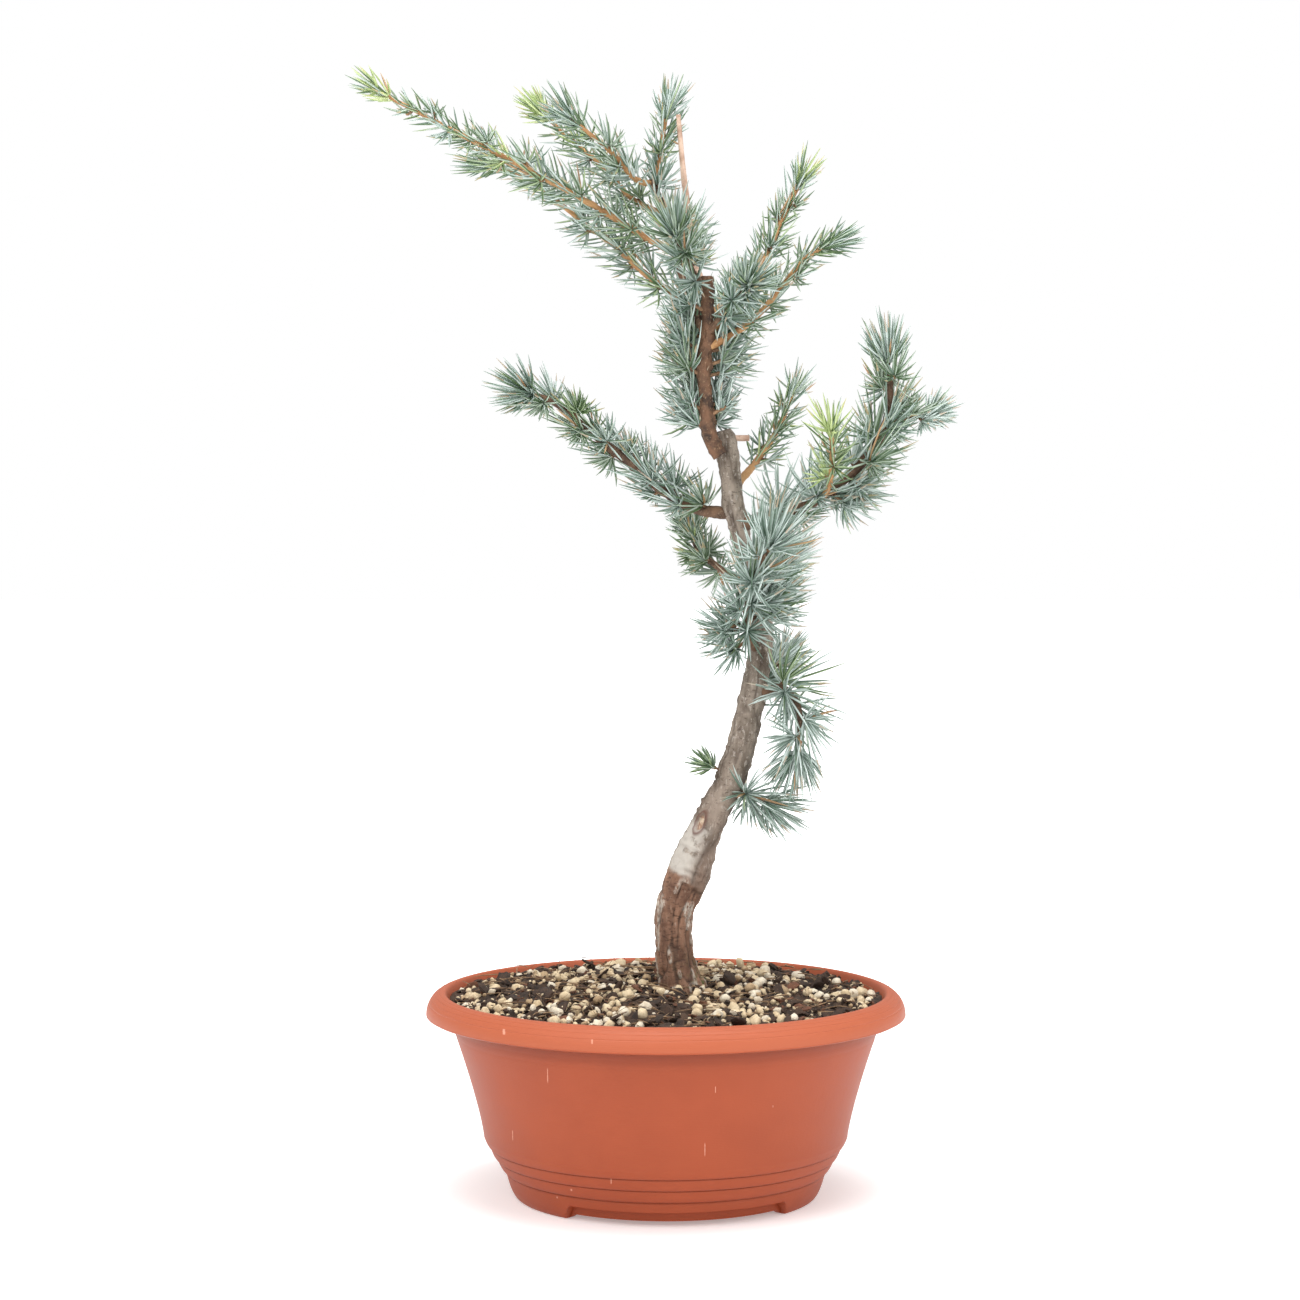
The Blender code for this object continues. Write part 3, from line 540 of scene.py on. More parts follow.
# Limbs: parent, distance along it, length, radius at foot and tip, bare length, bearings, climbs
limbs = {
    "top_bough": ("leader", 49, 72, 2.4, 1.5, 72, (132, 159, 201), (53, 61, 82, 70, 57)),
    "upper_long": ("top_bough", 38, 139, 1.5, 0.8, 8, (-164, -163, -175), (28, 29, 25, 26, 28)),
    "lower_long": ("top_bough", 19, 104, 1.5, 0.8, 7, (162, 163, 173), (19, 44, 35, 43, 5)),
    "rear_short": ("top_bough", 56, 72, 1.3, 0.8, 7, (158, 151, 159), (11, 49, 37, 44)),
    "front_short": ("top_bough", 70, 45, 1.2, 0.8, 0, (-133, -163), (-12, 47, 34, 38)),
    "spire": ("top_bough", 67, 34, 1.1, 0.8, 0, (62, 56), (69, 76, 69)),
    "front_tuft": ("leader", 67, 35, 1.4, 0.8, 0, (-118, -115), (28, 33, 43)),
    "right_upper": ("leader", 51, 88, 1.7, 0.8, 25, (35, 58, 26), (24, 48, 57, 62)),
    "right_lower": ("leader", 44, 67, 1.6, 0.8, 18, (-20, -22), (20, 33, 48, 51, 17)),
    "right_front": ("leader", 49, 37, 1.3, 0.8, 0, (-55, -68), (44, 26, 22)),
    "left_bough": ("trunk", 207, 103, 2.7, 1.1, 22, (158, 177, 221), (-6, 24, 40, 38, 40, 10)),
    "rear_left": ("trunk", 175, 50, 1.8, 0.9, 17, (152, 106), (9, 28, 26, 53)),
    "right_bough": ("trunk", 201, 105, 3, 1.2, 19, (-39, -13, 18), (17, 11, 34, 46, 78, 99)),
    "front_candle": ("right_bough", 40, 45, 1.3, 0.9, 0, (-74, -101), (5, 45, 47)),
    "right_twig": ("right_bough", 81, 20, 1.1, 0.7, 0, (6, 42), (12, 10)),
    "rear_right": ("trunk", 216, 64, 1.8, 0.8, 18, (54, 58), (35, 34, 44, 53)),
    "front_lower": ("trunk", 146, 62, 2, 0.9, 17, (-125, -86, -48), (35, 41, 51, 50)),
    "right_low": ("trunk", 126, 45, 2, 0.9, 14, (-30, -50), (37, 23, -46, -87, -99)),
    "rear_low": ("trunk", 169, 45, 1.5, 0.8, 0, (83, 64), (17, 20, 24)),
    "rear_leader": ("leader", 29, 49, 1.3, 0.8, 0, (95, 99), (28, 27, 33)),
    "rear_top": ("top_bough", 35, 38, 1.2, 0.8, 0, (75, 83), (27, 30)),
    "rear_middle": ("trunk", 128, 39, 1.5, 0.8, 0, (67, 68), (26, 19)),
    "rear_high": ("leader", 57, 45, 1.3, 0.8, 0, (69, 74), (20, 20)),
    "low_spur": ("trunk", 89, 16, 1.2, 0.8, 0, (-20, -15), (-10, -30)),
    "left_spur": ("trunk", 95, 9, 0.8, 0.5, 0, (200, 200), (15, 25)),
    "dead_leader": ("leader", 65, 79, 1.8, 1, 79, (134, 146), (56, 81, 83, 84)),
    "dead_stub": ("trunk", 238, 11, 1.4, 1.2, 11, (5, 5), (2, 2)),
}
lineSteps = 120


# Values set evenly from start to end, read between them in straight lines
def along(values, share):
    return np.interp(share, np.linspace(0, 1, len(values)), values)


# Running sum of unit steps whose sines to the right and to the back follow the leans
def stemLine(start, sizes):
    share = (np.arange(lineSteps) + 0.5) / lineSteps
    right, back = (np.sin(np.radians(along(sizes[key], share))) for key in ("right", "back"))
    ways = np.stack([right, back, np.sqrt(1 - right**2 - back**2)], axis=1)
    return np.vstack([start, start + np.cumsum(ways * sizes["length"] / lineSteps, axis=0)])


# Running sum of unit steps read from bearings round the plant and climbs above level
def limbLine(start, length, bearings, climbs):
    share = (np.arange(lineSteps) + 0.5) / lineSteps
    bearing, climb = np.radians(along(bearings, share)), np.radians(along(climbs, share))
    ways = np.stack([np.cos(climb) * np.cos(bearing), np.cos(climb) * np.sin(bearing), np.sin(climb)], axis=1)
    return np.vstack([start, start + np.cumsum(ways * length / lineSteps, axis=0)])


# Point at a distance along a line, straight between its points and straight on past both ends
def pointAlong(line, distance):
    spans = np.concatenate([[0], np.cumsum(np.linalg.norm(np.diff(line, axis=0), axis=1))])
    inside = np.stack([np.interp(distance, spans, line[:, i]) for i in range(3)], axis=-1)
    beyond = np.maximum(np.asarray(distance) - spans[-1], 0)[..., None]
    before = np.minimum(np.asarray(distance), 0)[..., None]
    return inside + unit(line[-1] - line[-2]) * beyond + unit(line[1] - line[0]) * before


# A way along the line, and two ways across it that turn as little as they can
def framesAlong(line):
    ways = unit(np.gradient(line, axis=0))
    current = np.eye(3)[0] if abs(ways[0, 0]) < 0.8 else np.eye(3)[2]
    across = np.empty_like(line)
    for index, way in enumerate(ways):
        current = unit(current - way * (current @ way))
        across[index] = current
    return ways, across, np.cross(ways, across)


lines = {"trunk": stemLine(np.array(trunkSizes["foot"], float), trunkSizes)}
lines["leader"] = stemLine(pointAlong(lines["trunk"], leaderSizes["at"]) + leaderSizes["offset"], leaderSizes)
for limbName, (parent, at, length, _, _, _, bearings, climbs) in limbs.items():
    lines[limbName] = limbLine(pointAlong(lines[parent], at), length, bearings, climbs)
lengths = {"trunk": trunkSizes["length"], "leader": leaderSizes["length"]}
lengths.update({name: limb[2] for name, limb in limbs.items()})


# Taper, root flare and the swelling over the graft
def trunkRadius(distance):
    t = trunkSizes
    taper = along(t["radii"], distance / t["length"])
    graft = t["graftSwell"] * np.exp(-(((distance - t["graftAt"]) / t["graftReach"]) ** 2))
    return taper + t["flare"] * np.exp(-np.maximum(distance, 0) / t["flareReach"]) + graft


# Even taper from foot to tip
def limbRadius(name, distance):
    _, _, length, thick, thin = limbs[name][:5]
    return thick + (thin - thick) * np.clip(distance / length, 0, 1)


# Points on a limb: line + radius x (across cos(turn) + over sin(turn))
def tubeGrid(distances, line, radius):
    points = pointAlong(line, distances)
    ways, across, over = framesAlong(points)
    turn = np.arange(radius.shape[1]) * 2 * math.pi / radius.shape[1]
    outward = across[:, None] * np.cos(turn)[:, None] + over[:, None] * np.sin(turn)[:, None]
    return points[:, None] + outward * radius[..., None], (ways, across, over)


# Distances along a stem as a column and turns round it as a row
def stemRows(start, end, step, columns):
    return np.arange(start, end, step)[:, None], np.arange(columns)[None] / columns


# How far the bark swells round the foot of each limb that leaves this stem
def collars(stem, distance, turn, frames, spread=3.2, rise=1.0):
    ways, across, over = frames
    swell = np.zeros(np.broadcast_shapes(distance.shape, turn.shape))
    for name, limb in limbs.items():
        if limb[0] != stem:
            continue
        leaving = unit(lines[name][6] - lines[name][0])
        row = min(int(np.searchsorted(distance[:, 0], limb[1])), len(ways) - 1)
        bearing = math.atan2(leaving @ over[row], leaving @ across[row])
        offTurn = np.abs((turn * 2 * math.pi - bearing + math.pi) % (2 * math.pi) - math.pi)
        size = spread * (0.6 + limb[3] / 3)
        swell = swell + rise * np.exp(-(((distance - limb[1] - 2) / size) ** 2) - (offTurn * 5.2 / size) ** 2)
    return swell


# Bark of the trunk: colours below and above the graft, each a dark and a light with its specks; the groove
# colour is mostly painted shade
barkColours = {
    "low": ((0.10, 0.044, 0.025), (0.30, 0.160, 0.098)), "lowDark": (0.05, 0.024, 0.014),
    "lowSpeck": (0.30, 0.20, 0.14), "flake": (0.50, 0.43, 0.36),
    "high": ((0.11, 0.082, 0.060), (0.31, 0.255, 0.205)), "highSpeck": (0.44, 0.39, 0.34),
    "highDark": (0.055, 0.032, 0.022), "panel": (0.47, 0.43, 0.38), "graft": (0.19, 0.112, 0.075),
    "groove": (0.035, 0.018, 0.011), "moss": (0.07, 0.10, 0.022),
    "wound": ((0.30, 0.15, 0.09), (0.62, 0.50, 0.37)), "rim": (0.10, 0.030, 0.018),
}
# Smaller wood: dark, light, speck, grain in metres
woods = {
    "leader bark": ((0.028, 0.014, 0.008), (0.165, 0.080, 0.042), (0.33, 0.21, 0.12), 0.0009),
    "sawn wood": ((0.48, 0.34, 0.20), (0.66, 0.50, 0.32), (0.36, 0.24, 0.13), 0.0009),
    "bough bark": ((0.055, 0.028, 0.016), (0.18, 0.098, 0.055), (0.32, 0.22, 0.14), 0.0009),
    "young shoots": ((0.30, 0.145, 0.055), (0.47, 0.26, 0.11), (0.55, 0.37, 0.2), 0.0009),
    "stripped dead wood": ((0.36, 0.22, 0.155), (0.60, 0.43, 0.33), (0.26, 0.15, 0.10), 0.0012),
    "spur bark": ((0.10, 0.05, 0.025), (0.30, 0.17, 0.09), (0.42, 0.28, 0.15), 0.0006),
    "root fibres": ((0.13, 0.07, 0.035), (0.34, 0.21, 0.11), (0.5, 0.36, 0.22), 0.0007),
}


# The trunk's colours, placed by the values that makeTrunk writes on its points
def barkSurface():
    c = barkColours
    s = Surface("trunk bark", c["highDark"], 0.85)
    broad = s.noise(0.007, 5, 0.6, (1, 1, 3))
    fine = s.noise(0.0011, 4, 0.65, (1, 1, 2.4))
    streaks = s.noise(0.0022, 4, 0.65, (1, 1, 0.35))
    rings = s.noise(0.0016, 3, 0.6, (1, 1, 0.45))
    low = s.blendColours(s.rise(broad, 0.3, 0.7), *c["low"])
    low = s.blendColours(s.rise(streaks, 0.54, 0.62) * 0.7, low, c["lowDark"])
    low = s.blendColours(s.rise(fine, 0.56, 0.66) * 0.5, low, c["lowSpeck"])
    low = s.blendColours(s.own("flake") * s.rise(fine, 0.35, 0.6), low, c["flake"])
    high = s.blendColours(s.rise(broad, 0.34, 0.66), *c["high"])
    high = s.blendColours(s.rise(fine, 0.55, 0.64) * 0.75, high, c["highSpeck"])
    high = s.blendColours(s.rise(rings, 0.60, 0.66) * 0.7, high, c["highDark"])
    high = s.blendColours(s.own("panel") * s.rise(s.noise(0.005, 3), 0.34, 0.5), high, c["panel"])
    high = s.blendColours(s.own("nearGraft") * s.rise(broad, 0.2, 0.6) * 0.85, high, c["graft"])
    colour = s.blendColours(s.own("upper"), low, high)
    # Painted shade: the groove colour darkens the fissures, the seams and a line under the graft ledge; on
    # knobs it is their own dark colour
    colour = s.blendColours(s.own("groove") * 0.85, colour, c["groove"])
    mossy = s.rise(s.noise(0.004, 4, 0.65), 0.47, 0.62) * s.own("low")
    colour = s.blendColours(mossy * 0.8, colour, c["moss"])
    colour = s.blendColours(s.own("wound"), colour, s.blendColours(s.rise(fine, 0.4, 0.6), *c["wound"]))
    colour = s.blendColours(s.own("rim") * 0.8, colour, c["rim"])
    s.set(Base_Color=colour, Roughness=0.68 + fine * 0.25)
    s.bump(fine + broad * 0.7, 0.0005, 0.75)
    return s.material


# Layers of noise on the trunk: cells round, cell length, seed
trunkLayers = {
    "ledge": (7, 30, 3), "edge": (12, 5, 4), "crack": (13, 15, 11), "cross": (9, 5, 12), "flake": (17, 7, 21),
    "plate": (34, 2.2, 13), "rib": (8, 34, 31), "ring": (5, 1.7, 32), "knob": (22, 4.2, 33),
    "grain": (40, 1.9, 34), "seam": (6, 26, 35), "wound": (16, 3, 36),
}
# Heights of the trunk's relief, and how far some of it reaches up from the graft
trunkRelief = {
    "fissure": 0.95, "flake": 0.55, "plate": 0.35, "rib": 1.1, "ring": 0.8, "knob": 0.75, "grain": 0.45,
    "seam": 0.8, "step": 0.85, "sunk": 0.3, "wound": 1.5, "rim": 0.9, "topRound": 2.2, "ledgeSlant": 2,
    "ledgeDrop": 1.5, "ledgeWander": 2.2, "roughReach": 34, "stepReach": 9, "shadeReach": 24, "mossReach": 7,
    "panelBearing": -135, "panelEdge": 3,
}


# Trunk: fissured plates below the graft, finer rings and low ribs above it, a ledge at the graft, a healed
# wound on the front, and a collar at the foot of each bough
def makeTrunk():
    t, r = trunkSizes, trunkRelief
    distance, turn = stemRows(-t["sunk"], t["length"] - 0.1, t["step"], t["columns"])
    radius = trunkRadius(distance) + 0 * turn
    _, frames = tubeGrid(distance[:, 0], lines["trunk"], radius)
    bearing = turn * 2 * math.pi
    layer = {name: latticeNoise(turn, distance, *cells) for name, cells in trunkLayers.items()}
    even = {name: values - 0.5 for name, values in layer.items()}
    ridge = {name: 1 - np.abs(even[name]) * 2 for name in ("crack", "cross", "seam")}

    ledge = t["graftAt"] - r["ledgeDrop"] - r["ledgeSlant"] * np.cos(bearing)
    ledge = ledge + r["ledgeWander"] * even["ledge"]
    upper = smoothStep(distance + 5 * even["edge"], ledge - 2.2, ledge + 1.6)
    above = np.maximum(distance - ledge, 0)
    fissure = ridge["crack"] ** 5 + 0.5 * ridge["cross"] ** 7
    flake = smoothStep(layer["flake"], 0.66, 0.72) * (1 - upper)
    lowRelief = -r["fissure"] * fissure + r["flake"] * flake + r["plate"] * even["plate"]
    knob = smoothStep(layer["knob"], 0.78, 0.93)
    rough = np.exp(-above / r["roughReach"]) + 0.45
    bumps = r["ring"] * even["ring"] + r["knob"] * knob
    highRelief = r["rib"] * even["rib"] + rough * bumps + r["grain"] * even["grain"]
    highRelief = highRelief - r["seam"] * rough * ridge["seam"] ** 8
    facing = np.clip(0.25 + 0.9 * np.cos(bearing + 0.4), 0, 1)
    step = r["step"] * upper * np.exp(-above / r["stepReach"]) * facing
    relief = lowRelief * (1 - upper) + highRelief * upper + step - r["sunk"]
    relief = relief + collars("trunk", distance, turn, frames)

    fromWound = (bearing - math.radians(t["woundBearing"]) + math.pi) % (2 * math.pi) - math.pi
    across = np.abs(fromWound) * t["woundRadius"]
    ring = np.sqrt(((distance - t["woundAt"]) / t["woundTall"]) ** 2 + (across / t["woundWide"]) ** 2)
    ring = ring + 0.5 * even["wound"]
    wound = 1 - smoothStep(ring, 0.5, 0.75)
    rim = np.exp(-(((ring - 0.98) / 0.2) ** 2))
    relief = relief * (1 - wound * 0.8) - r["wound"] * wound + r["rim"] * rim

    low = np.exp(-np.maximum(distance, 0) / r["mossReach"]) * (0.45 + 0.55 * np.cos(bearing))
    # Groove: painted shade in the fissures below the graft and the seams above it, and dark knobs; next, a
    # painted shade line under the graft ledge
    groove = 0.8 * smoothStep(fissure, 0.6, 1.0) * (1 - upper)
    groove = groove + (0.35 * knob + 0.7 * ridge["seam"] ** 10) * upper
    crease = np.exp(-(((distance - ledge + 1.2) / 0.7) ** 2)) * 0.7 * np.clip(np.cos(bearing) + 0.5, 0, 1)
    panel = np.clip(np.cos(bearing - math.radians(r["panelBearing"])) * 1.6 - 0.5, 0, 1) * upper
    panel = panel * (1 - smoothStep(distance, t["woundAt"] - r["panelEdge"], t["woundAt"] + r["panelEdge"]))
    nearGraft = np.exp(-above / r["shadeReach"]) * (1 - np.clip(panel * 1.2, 0, 1))
    top = smoothStep(distance, t["length"] - 6, t["length"]) * r["topRound"]
    grid, _ = tubeGrid(distance[:, 0], lines["trunk"], radius + relief - top)
    points, faces = closedGrid(grid * mm)
    own = {
        "upper": upper, "flake": flake, "wound": wound, "rim": rim, "groove": np.maximum(groove, crease),
        "low": low, "panel": panel, "nearGraft": nearGraft,
    }
    own = {key: np.append((values + 0 * radius).ravel(), [0, 0]) for key, values in own.items()}
    makePiece("trunk_bark", points, faces, [barkSurface()], ["trunk"], own=own)


# Leader: rough dark bark with ringed spur scars, sawn level at its top
def makeLeader():
    t = leaderSizes
    distance, turn = stemRows(-t["sunk"], t["length"], t["step"], t["columns"])
    radius = along(t["radii"], distance / t["length"]) + 0 * turn
    _, frames = tubeGrid(distance[:, 0], lines["leader"], radius)
    relief = 0.7 * (latticeNoise(turn, distance, 7, 6, 51) - 0.5)
    relief = relief + 0.9 * (latticeNoise(turn, distance, 15, 1.8, 52) - 0.5)
    relief = relief + 0.5 * smoothStep(latticeNoise(turn, distance, 9, 4, 53), 0.7, 0.9)
    relief = relief + collars("leader", distance, turn, frames, 2.2, 0.7)
    grid, _ = tubeGrid(distance[:, 0], lines["leader"], radius + relief)
    points, faces = closedGrid(grid * mm)
    chosen = np.zeros(len(faces), int)
    chosen[-t["columns"]:] = 1
    materials = [grainSurface(name, "wood", *woods[name]) for name in ("leader bark", "sawn wood")]
    makePiece("leader_bark", points, faces, materials, ["leader"], faceMaterials=chosen, sharp=60)


boughSizes = {
    "step": 0.55, "columns": 15, "deadColumns": 20, "budLength": 2.5, "roughThickness": 2.2,
    "young": (
        "upper_long", "lower_long", "rear_short", "front_short", "spire", "right_upper", "right_lower",
        "rear_right", "front_candle", "rear_top", "rear_high",
    ),
}


# Boughs: knobbly tapering tubes from inside their parent to a small bud past their last needles. Dead wood
# has shallow lengthwise grooves and a few knots.
def makeBoughs():
    b = boughSizes
    kinds = {"bough_bark": ([], [], b["columns"]), "dead_wood": ([], [], b["deadColumns"])}
    for index, (name, limb) in enumerate(limbs.items()):
        kind = "dead_wood" if name.startswith("dead") else "bough_bark"
        parts, replaced, columns = kinds[kind]
        length, thick = limb[2:4]
        distance, turn = stemRows(0, length, b["step"], columns)
        radius = limbRadius(name, distance) + 0 * turn
        if kind == "dead_wood":
            relief = 0.35 * (latticeNoise(turn, distance, 9, 25, 70 + index) - 0.5)
            relief = relief - 0.25 * smoothStep(latticeNoise(turn, distance, 6, 18, 90 + index), 0.7, 0.8)
            relief = relief + 0.35 * smoothStep(latticeNoise(turn, distance, 5, 7, 80 + index), 0.8, 0.95)
        else:
            rough = np.clip(thick / b["roughThickness"], 0.45, 1) * (1 - 0.5 * distance / length)
            relief = rough * 0.75 * (latticeNoise(turn, distance, 6, 3.2, 70 + index) - 0.45)
            relief = relief + rough * 0.4 * (latticeNoise(turn, distance, 3, 1.1, 90 + index) - 0.5)
            relief = relief - radius * 0.5 * smoothStep(distance, length - b["budLength"], length)
        grid, _ = tubeGrid(distance[:, 0], lines[name], radius + relief)
        parts.append(closedGrid(grid * mm))
        if limb[5]:
            replaced.append(name + "_wood")
    living = [name for name in limbs if not name.startswith("dead")]
    counts = [len(faces) for _, faces in kinds["bough_bark"][0]]
    chosen = np.repeat([name in b["young"] for name in living], counts)
    looks = {
        "bough_bark": ("twig", ("bough bark", "young shoots"), chosen),
        "dead_wood": ("dead_wood", ("stripped dead wood",), None),
    }
    for name, (slot, surfaces, indices) in looks.items():
        points, faces = joined(kinds[name][0])
        materials = [grainSurface(surface, "wood", *woods[surface]) for surface in surfaces]
        makePiece(name, points, faces, materials, kinds[name][1], faceMaterials=indices)


makeTrunk()
makeLeader()
makeBoughs()

# Masses of needles: limb, start and end along it, radius at each end, offset of the middle line, habit, mix
# of colours. A tuft carries close rosettes on spurs; a shoot carries single needles with small rosettes.
masses = {
    "upper_long_inner": ("upper_long", 9, 76, 10.5, 10, (0, 0, 0.5), "shoot", "young"),
    "upper_long_outer": ("upper_long", 79, 145, 9, 5.5, (0, 0, 0.5), "shoot", "leafy"),
    "lower_long_inner": ("lower_long", 8, 62, 11, 9.5, (0, 0, 0), "shoot", "young"),
    "lower_long_outer": ("lower_long", 65, 112, 9, 7, (0, 0, 2), "shoot", "young"),
    "rear_short": ("rear_short", 8, 79, 9.5, 7, (0, 0, -1), "shoot", "leafy"),
    "front_short": ("front_short", 7, 52, 9.5, 8.5, (0, 0, 0), "shoot", "young"),
    "spire": ("spire", 5, 42, 8.5, 7.5, (1, 0, 0), "shoot", "young"),
    "top_right": ("top_bough", 42, 70, 8.5, 8, (5, -3, 1), "tuft", "old"),
    "front_tuft": ("front_tuft", 9, 42, 11.5, 11, (0, 0, 2), "tuft", "young"),
    "leader_left_upper": ("leader", 29, 61, 11.5, 11, (-9, 3, 2), "tuft", "old"),
    "leader_left_lower": ("leader", 3, 27, 9.5, 10.5, (-9, 4, 4), "tuft", "old"),
    "leader_right_upper": ("leader", 30, 56, 11.5, 11, (10.5, 3, 0), "tuft", "old"),
    "leader_right_lower": ("leader", 8, 27, 7.5, 8.5, (6.5, 4, 1), "tuft", "old"),
    "right_upper": ("right_upper", 26, 95, 10, 6.5, (-0.5, 0, 0), "shoot", "leafy"),
    "right_lower": ("right_lower", 19, 74, 9.5, 6.5, (0, 0, 0), "shoot", "young"),
    "right_front": ("right_front", 12, 43, 10, 10, (0, 0, 0), "tuft", "old"),
    "left_inner": ("left_bough", 11, 47, 11, 11, (0, 0, 3.5), "tuft", "old"),
    "left_middle": ("left_bough", 50, 85, 11.5, 9.5, (0, 0, 0), "tuft", "young"),
    "left_tip": ("left_bough", 88, 112, 9.5, 11, (-1.5, 0, 1.5), "tuft", "young"),
    "rear_left": ("rear_left", 18, 56, 10.5, 9.5, (1.5, 0, -2), "tuft", "leafy"),
    "right_inner": ("right_bough", 9, 47, 13, 14, (0, 0, 6), "tuft", "silver"),
    "right_fan": ("right_bough", 42, 58, 9, 10, (5, 0, -8), "tuft", "old"),
    "right_outer": ("right_bough", 51, 82, 14, 13, (0, 0, 1.5), "tuft", "old"),
    "right_top": ("right_bough", 85, 114, 12.5, 9, (0, 0, 0), "tuft", "young"),
    "right_twig": ("right_twig", 9, 28, 8.5, 7.5, (-1, 0, 1), "tuft", "old"),
    "front_candle": ("front_candle", 16, 51, 10, 9.5, (0, 0, 0), "shoot", "leafy"),
    "rear_right": ("rear_right", 19, 70, 9.5, 7.5, (0, 0, 0), "shoot", "leafy"),
    "front_lower": ("front_lower", 18, 70, 14, 14, (0, 0, 0), "tuft", "silver"),
    "front_lower_left": ("front_lower", 11, 27, 11.5, 11, (-10, 3, -5), "tuft", "silver"),
    "front_lower_right": ("front_lower", 22, 44, 11, 12, (19, 4, -2), "tuft", "silver"),
    "right_low_upper": ("right_low", 13, 28, 15, 15, (2, 0, 2.5), "tuft", "silver"),
    "right_low_lower": ("right_low", 31, 53, 14.5, 12, (-1, 0, 1.5), "tuft", "silver"),
    "low_rosette": ("low_spur", 5, 19, 14, 13, (2, 0, 0), "tuft", "old"),
    "left_rosette": ("left_spur", 6, 12, 4, 4, (0, 0, 0), "tuft", "leafy"),
    "rear_low": ("rear_low", 12, 52, 11, 11, (0, 0, 0), "tuft", "silver"),
    "rear_leader": ("rear_leader", 10, 56, 11, 10, (0, 0, 0), "tuft", "old"),
    "rear_top": ("rear_top", 10, 45, 11, 10, (0, 0, 0), "shoot", "young"),
    "rear_middle": ("rear_middle", 12, 46, 11, 10, (0, 0, 0), "tuft", "silver"),
    "rear_high": ("rear_high", 12, 52, 11, 10, (0, 0, 0), "shoot", "young"),
}
# Each colour: the waxy pale faces of a needle, its greener faces, and its tip
needleColours = {
    "silver": ((0.53, 0.61, 0.575), (0.19, 0.26, 0.215), (0.42, 0.36, 0.28)),
    "blue": ((0.43, 0.515, 0.475), (0.12, 0.185, 0.135), (0.38, 0.31, 0.22)),
    "sage": ((0.39, 0.47, 0.38), (0.09, 0.15, 0.075), (0.36, 0.31, 0.18)),
    "green": ((0.32, 0.41, 0.24), (0.07, 0.125, 0.045), (0.34, 0.30, 0.14)),
    "fresh": ((0.50, 0.58, 0.29), (0.27, 0.36, 0.13), (0.46, 0.44, 0.2)),
    "tan": ((0.46, 0.29, 0.15), (0.31, 0.18, 0.09), (0.30, 0.16, 0.08)),
}
colourNames = list(needleColours)
freshColour, tanColour = colourNames.index("fresh"), colourNames.index("tan")
# Share of each colour in a mass
mixes = {
    "silver": (0.6, 0.26, 0.12, 0.02, 0, 0),
    "old": (0.3, 0.4, 0.25, 0.05, 0, 0),
    "young": (0.16, 0.3, 0.4, 0.13, 0.01, 0),
    "leafy": (0.08, 0.18, 0.42, 0.29, 0.03, 0),
}
# Lengths in millimetres. A habit is the gap between rosettes and the needles of each; freshTips say from what
# share of a mass its needles are fresh.
sprayRules = {
    "seed": 23, "habits": {"tuft": (5.4, 36), "shoot": (8.0, 14)}, "singlesPerMm": 1.4, "longest": 26,
    "shortest": 4.5, "needleRadius": 0.5, "singleRadius": 0.45, "singleLength": (15, 1.8),
    "singleLean": (50, 8), "spurLength": (1.5, 3.6), "spurRadius": 0.85, "leaderRadius": 2.8,
    "capAngle": 88, "tipCapAngle": 72, "stray": 0.22, "withered": 0.009, "browned": 0.16,
    "middlePoints": 24, "segment": 5,
    "beyond": {"left_rosette": 1.7}, "sparse": {"left_rosette": 0.4},
    "freshTips": {
        "upper_long_outer": 0.8, "rear_short": 0.82, "right_upper": 0.84, "front_candle": 0.68,
        "left_tip": 0.75, "spire": 0.9,
    },
}
goldenTurn = math.pi * (3 - math.sqrt(5))
slantWay = (0.31, 0.52, 0.79)


# Distance a needle may grow from its base before it leaves the mass: the last sample that lies inside the
# spheres set along the mass's middle line
def reachInside(bases, ways, middle, radii):
    steps = np.arange(1, sprayRules["longest"] + 1, 1.0)
    samples = bases[:, None] + ways[:, None] * steps[:, None]
    outside = (np.linalg.norm(samples[:, :, None] - middle, axis=-1) - radii).min(axis=-1)
    return np.where(outside < 0, steps, 0).max(axis=1)


# Ways spread evenly over a cap round each spur: heights of the cap in even steps, turned by the golden angle
def capWays(axis, count, widest, random):
    height = 1 - (1 - math.cos(math.radians(widest))) * (np.arange(count) + 0.5) / count
    turn = np.arange(count) * goldenTurn + random.uniform(0, 6.28) + random.normal(0, 0.12, count)
    height = np.clip(height + random.normal(0, 0.05, count), -0.4, 0.995)
    side = unit(np.cross(axis, slantWay))
    over = np.cross(axis, side)
    flat = np.sqrt(1 - height**2)[:, None]
    return axis * height[:, None] + flat * (side * np.cos(turn)[:, None] + over * np.sin(turn)[:, None])


grown = {key: [] for key in ("base", "way", "bend", "length", "radius", "colour", "mass")}
spurs = []


# Keeps the needles that are long enough, with the radius and the mass that they share
def grow(keep, radius, massIndex, **values):
    count = keep.sum()
    for key, value in values.items():
        grown[key].append(value[keep])
    grown["radius"].append(np.full(count, radius))
    grown["mass"].append(np.full(count, massIndex))


# Most needles keep the colour dealt to their spray, some take another of the mix and a few are withered
def strayColours(dealt, count, weights, random):
    r = sprayRules
    kept = random.random(count) > r["stray"]
    colours = np.where(kept, dealt, random.choice(len(colourNames), count, p=weights))
    return np.where(random.random(count) < r["withered"], tanColour, colours)


# Place on a limb's line, the way along it, and the way out of it at a turn
def outOfLimb(line, place, turn):
    way = unit(pointAlong(line, place + 1) - pointAlong(line, place - 1))
    side = unit(np.cross(way, slantWay))
    turn = np.asarray(turn)[..., None]
    return pointAlong(line, place), way, side * np.cos(turn) + np.cross(way, side) * np.sin(turn)


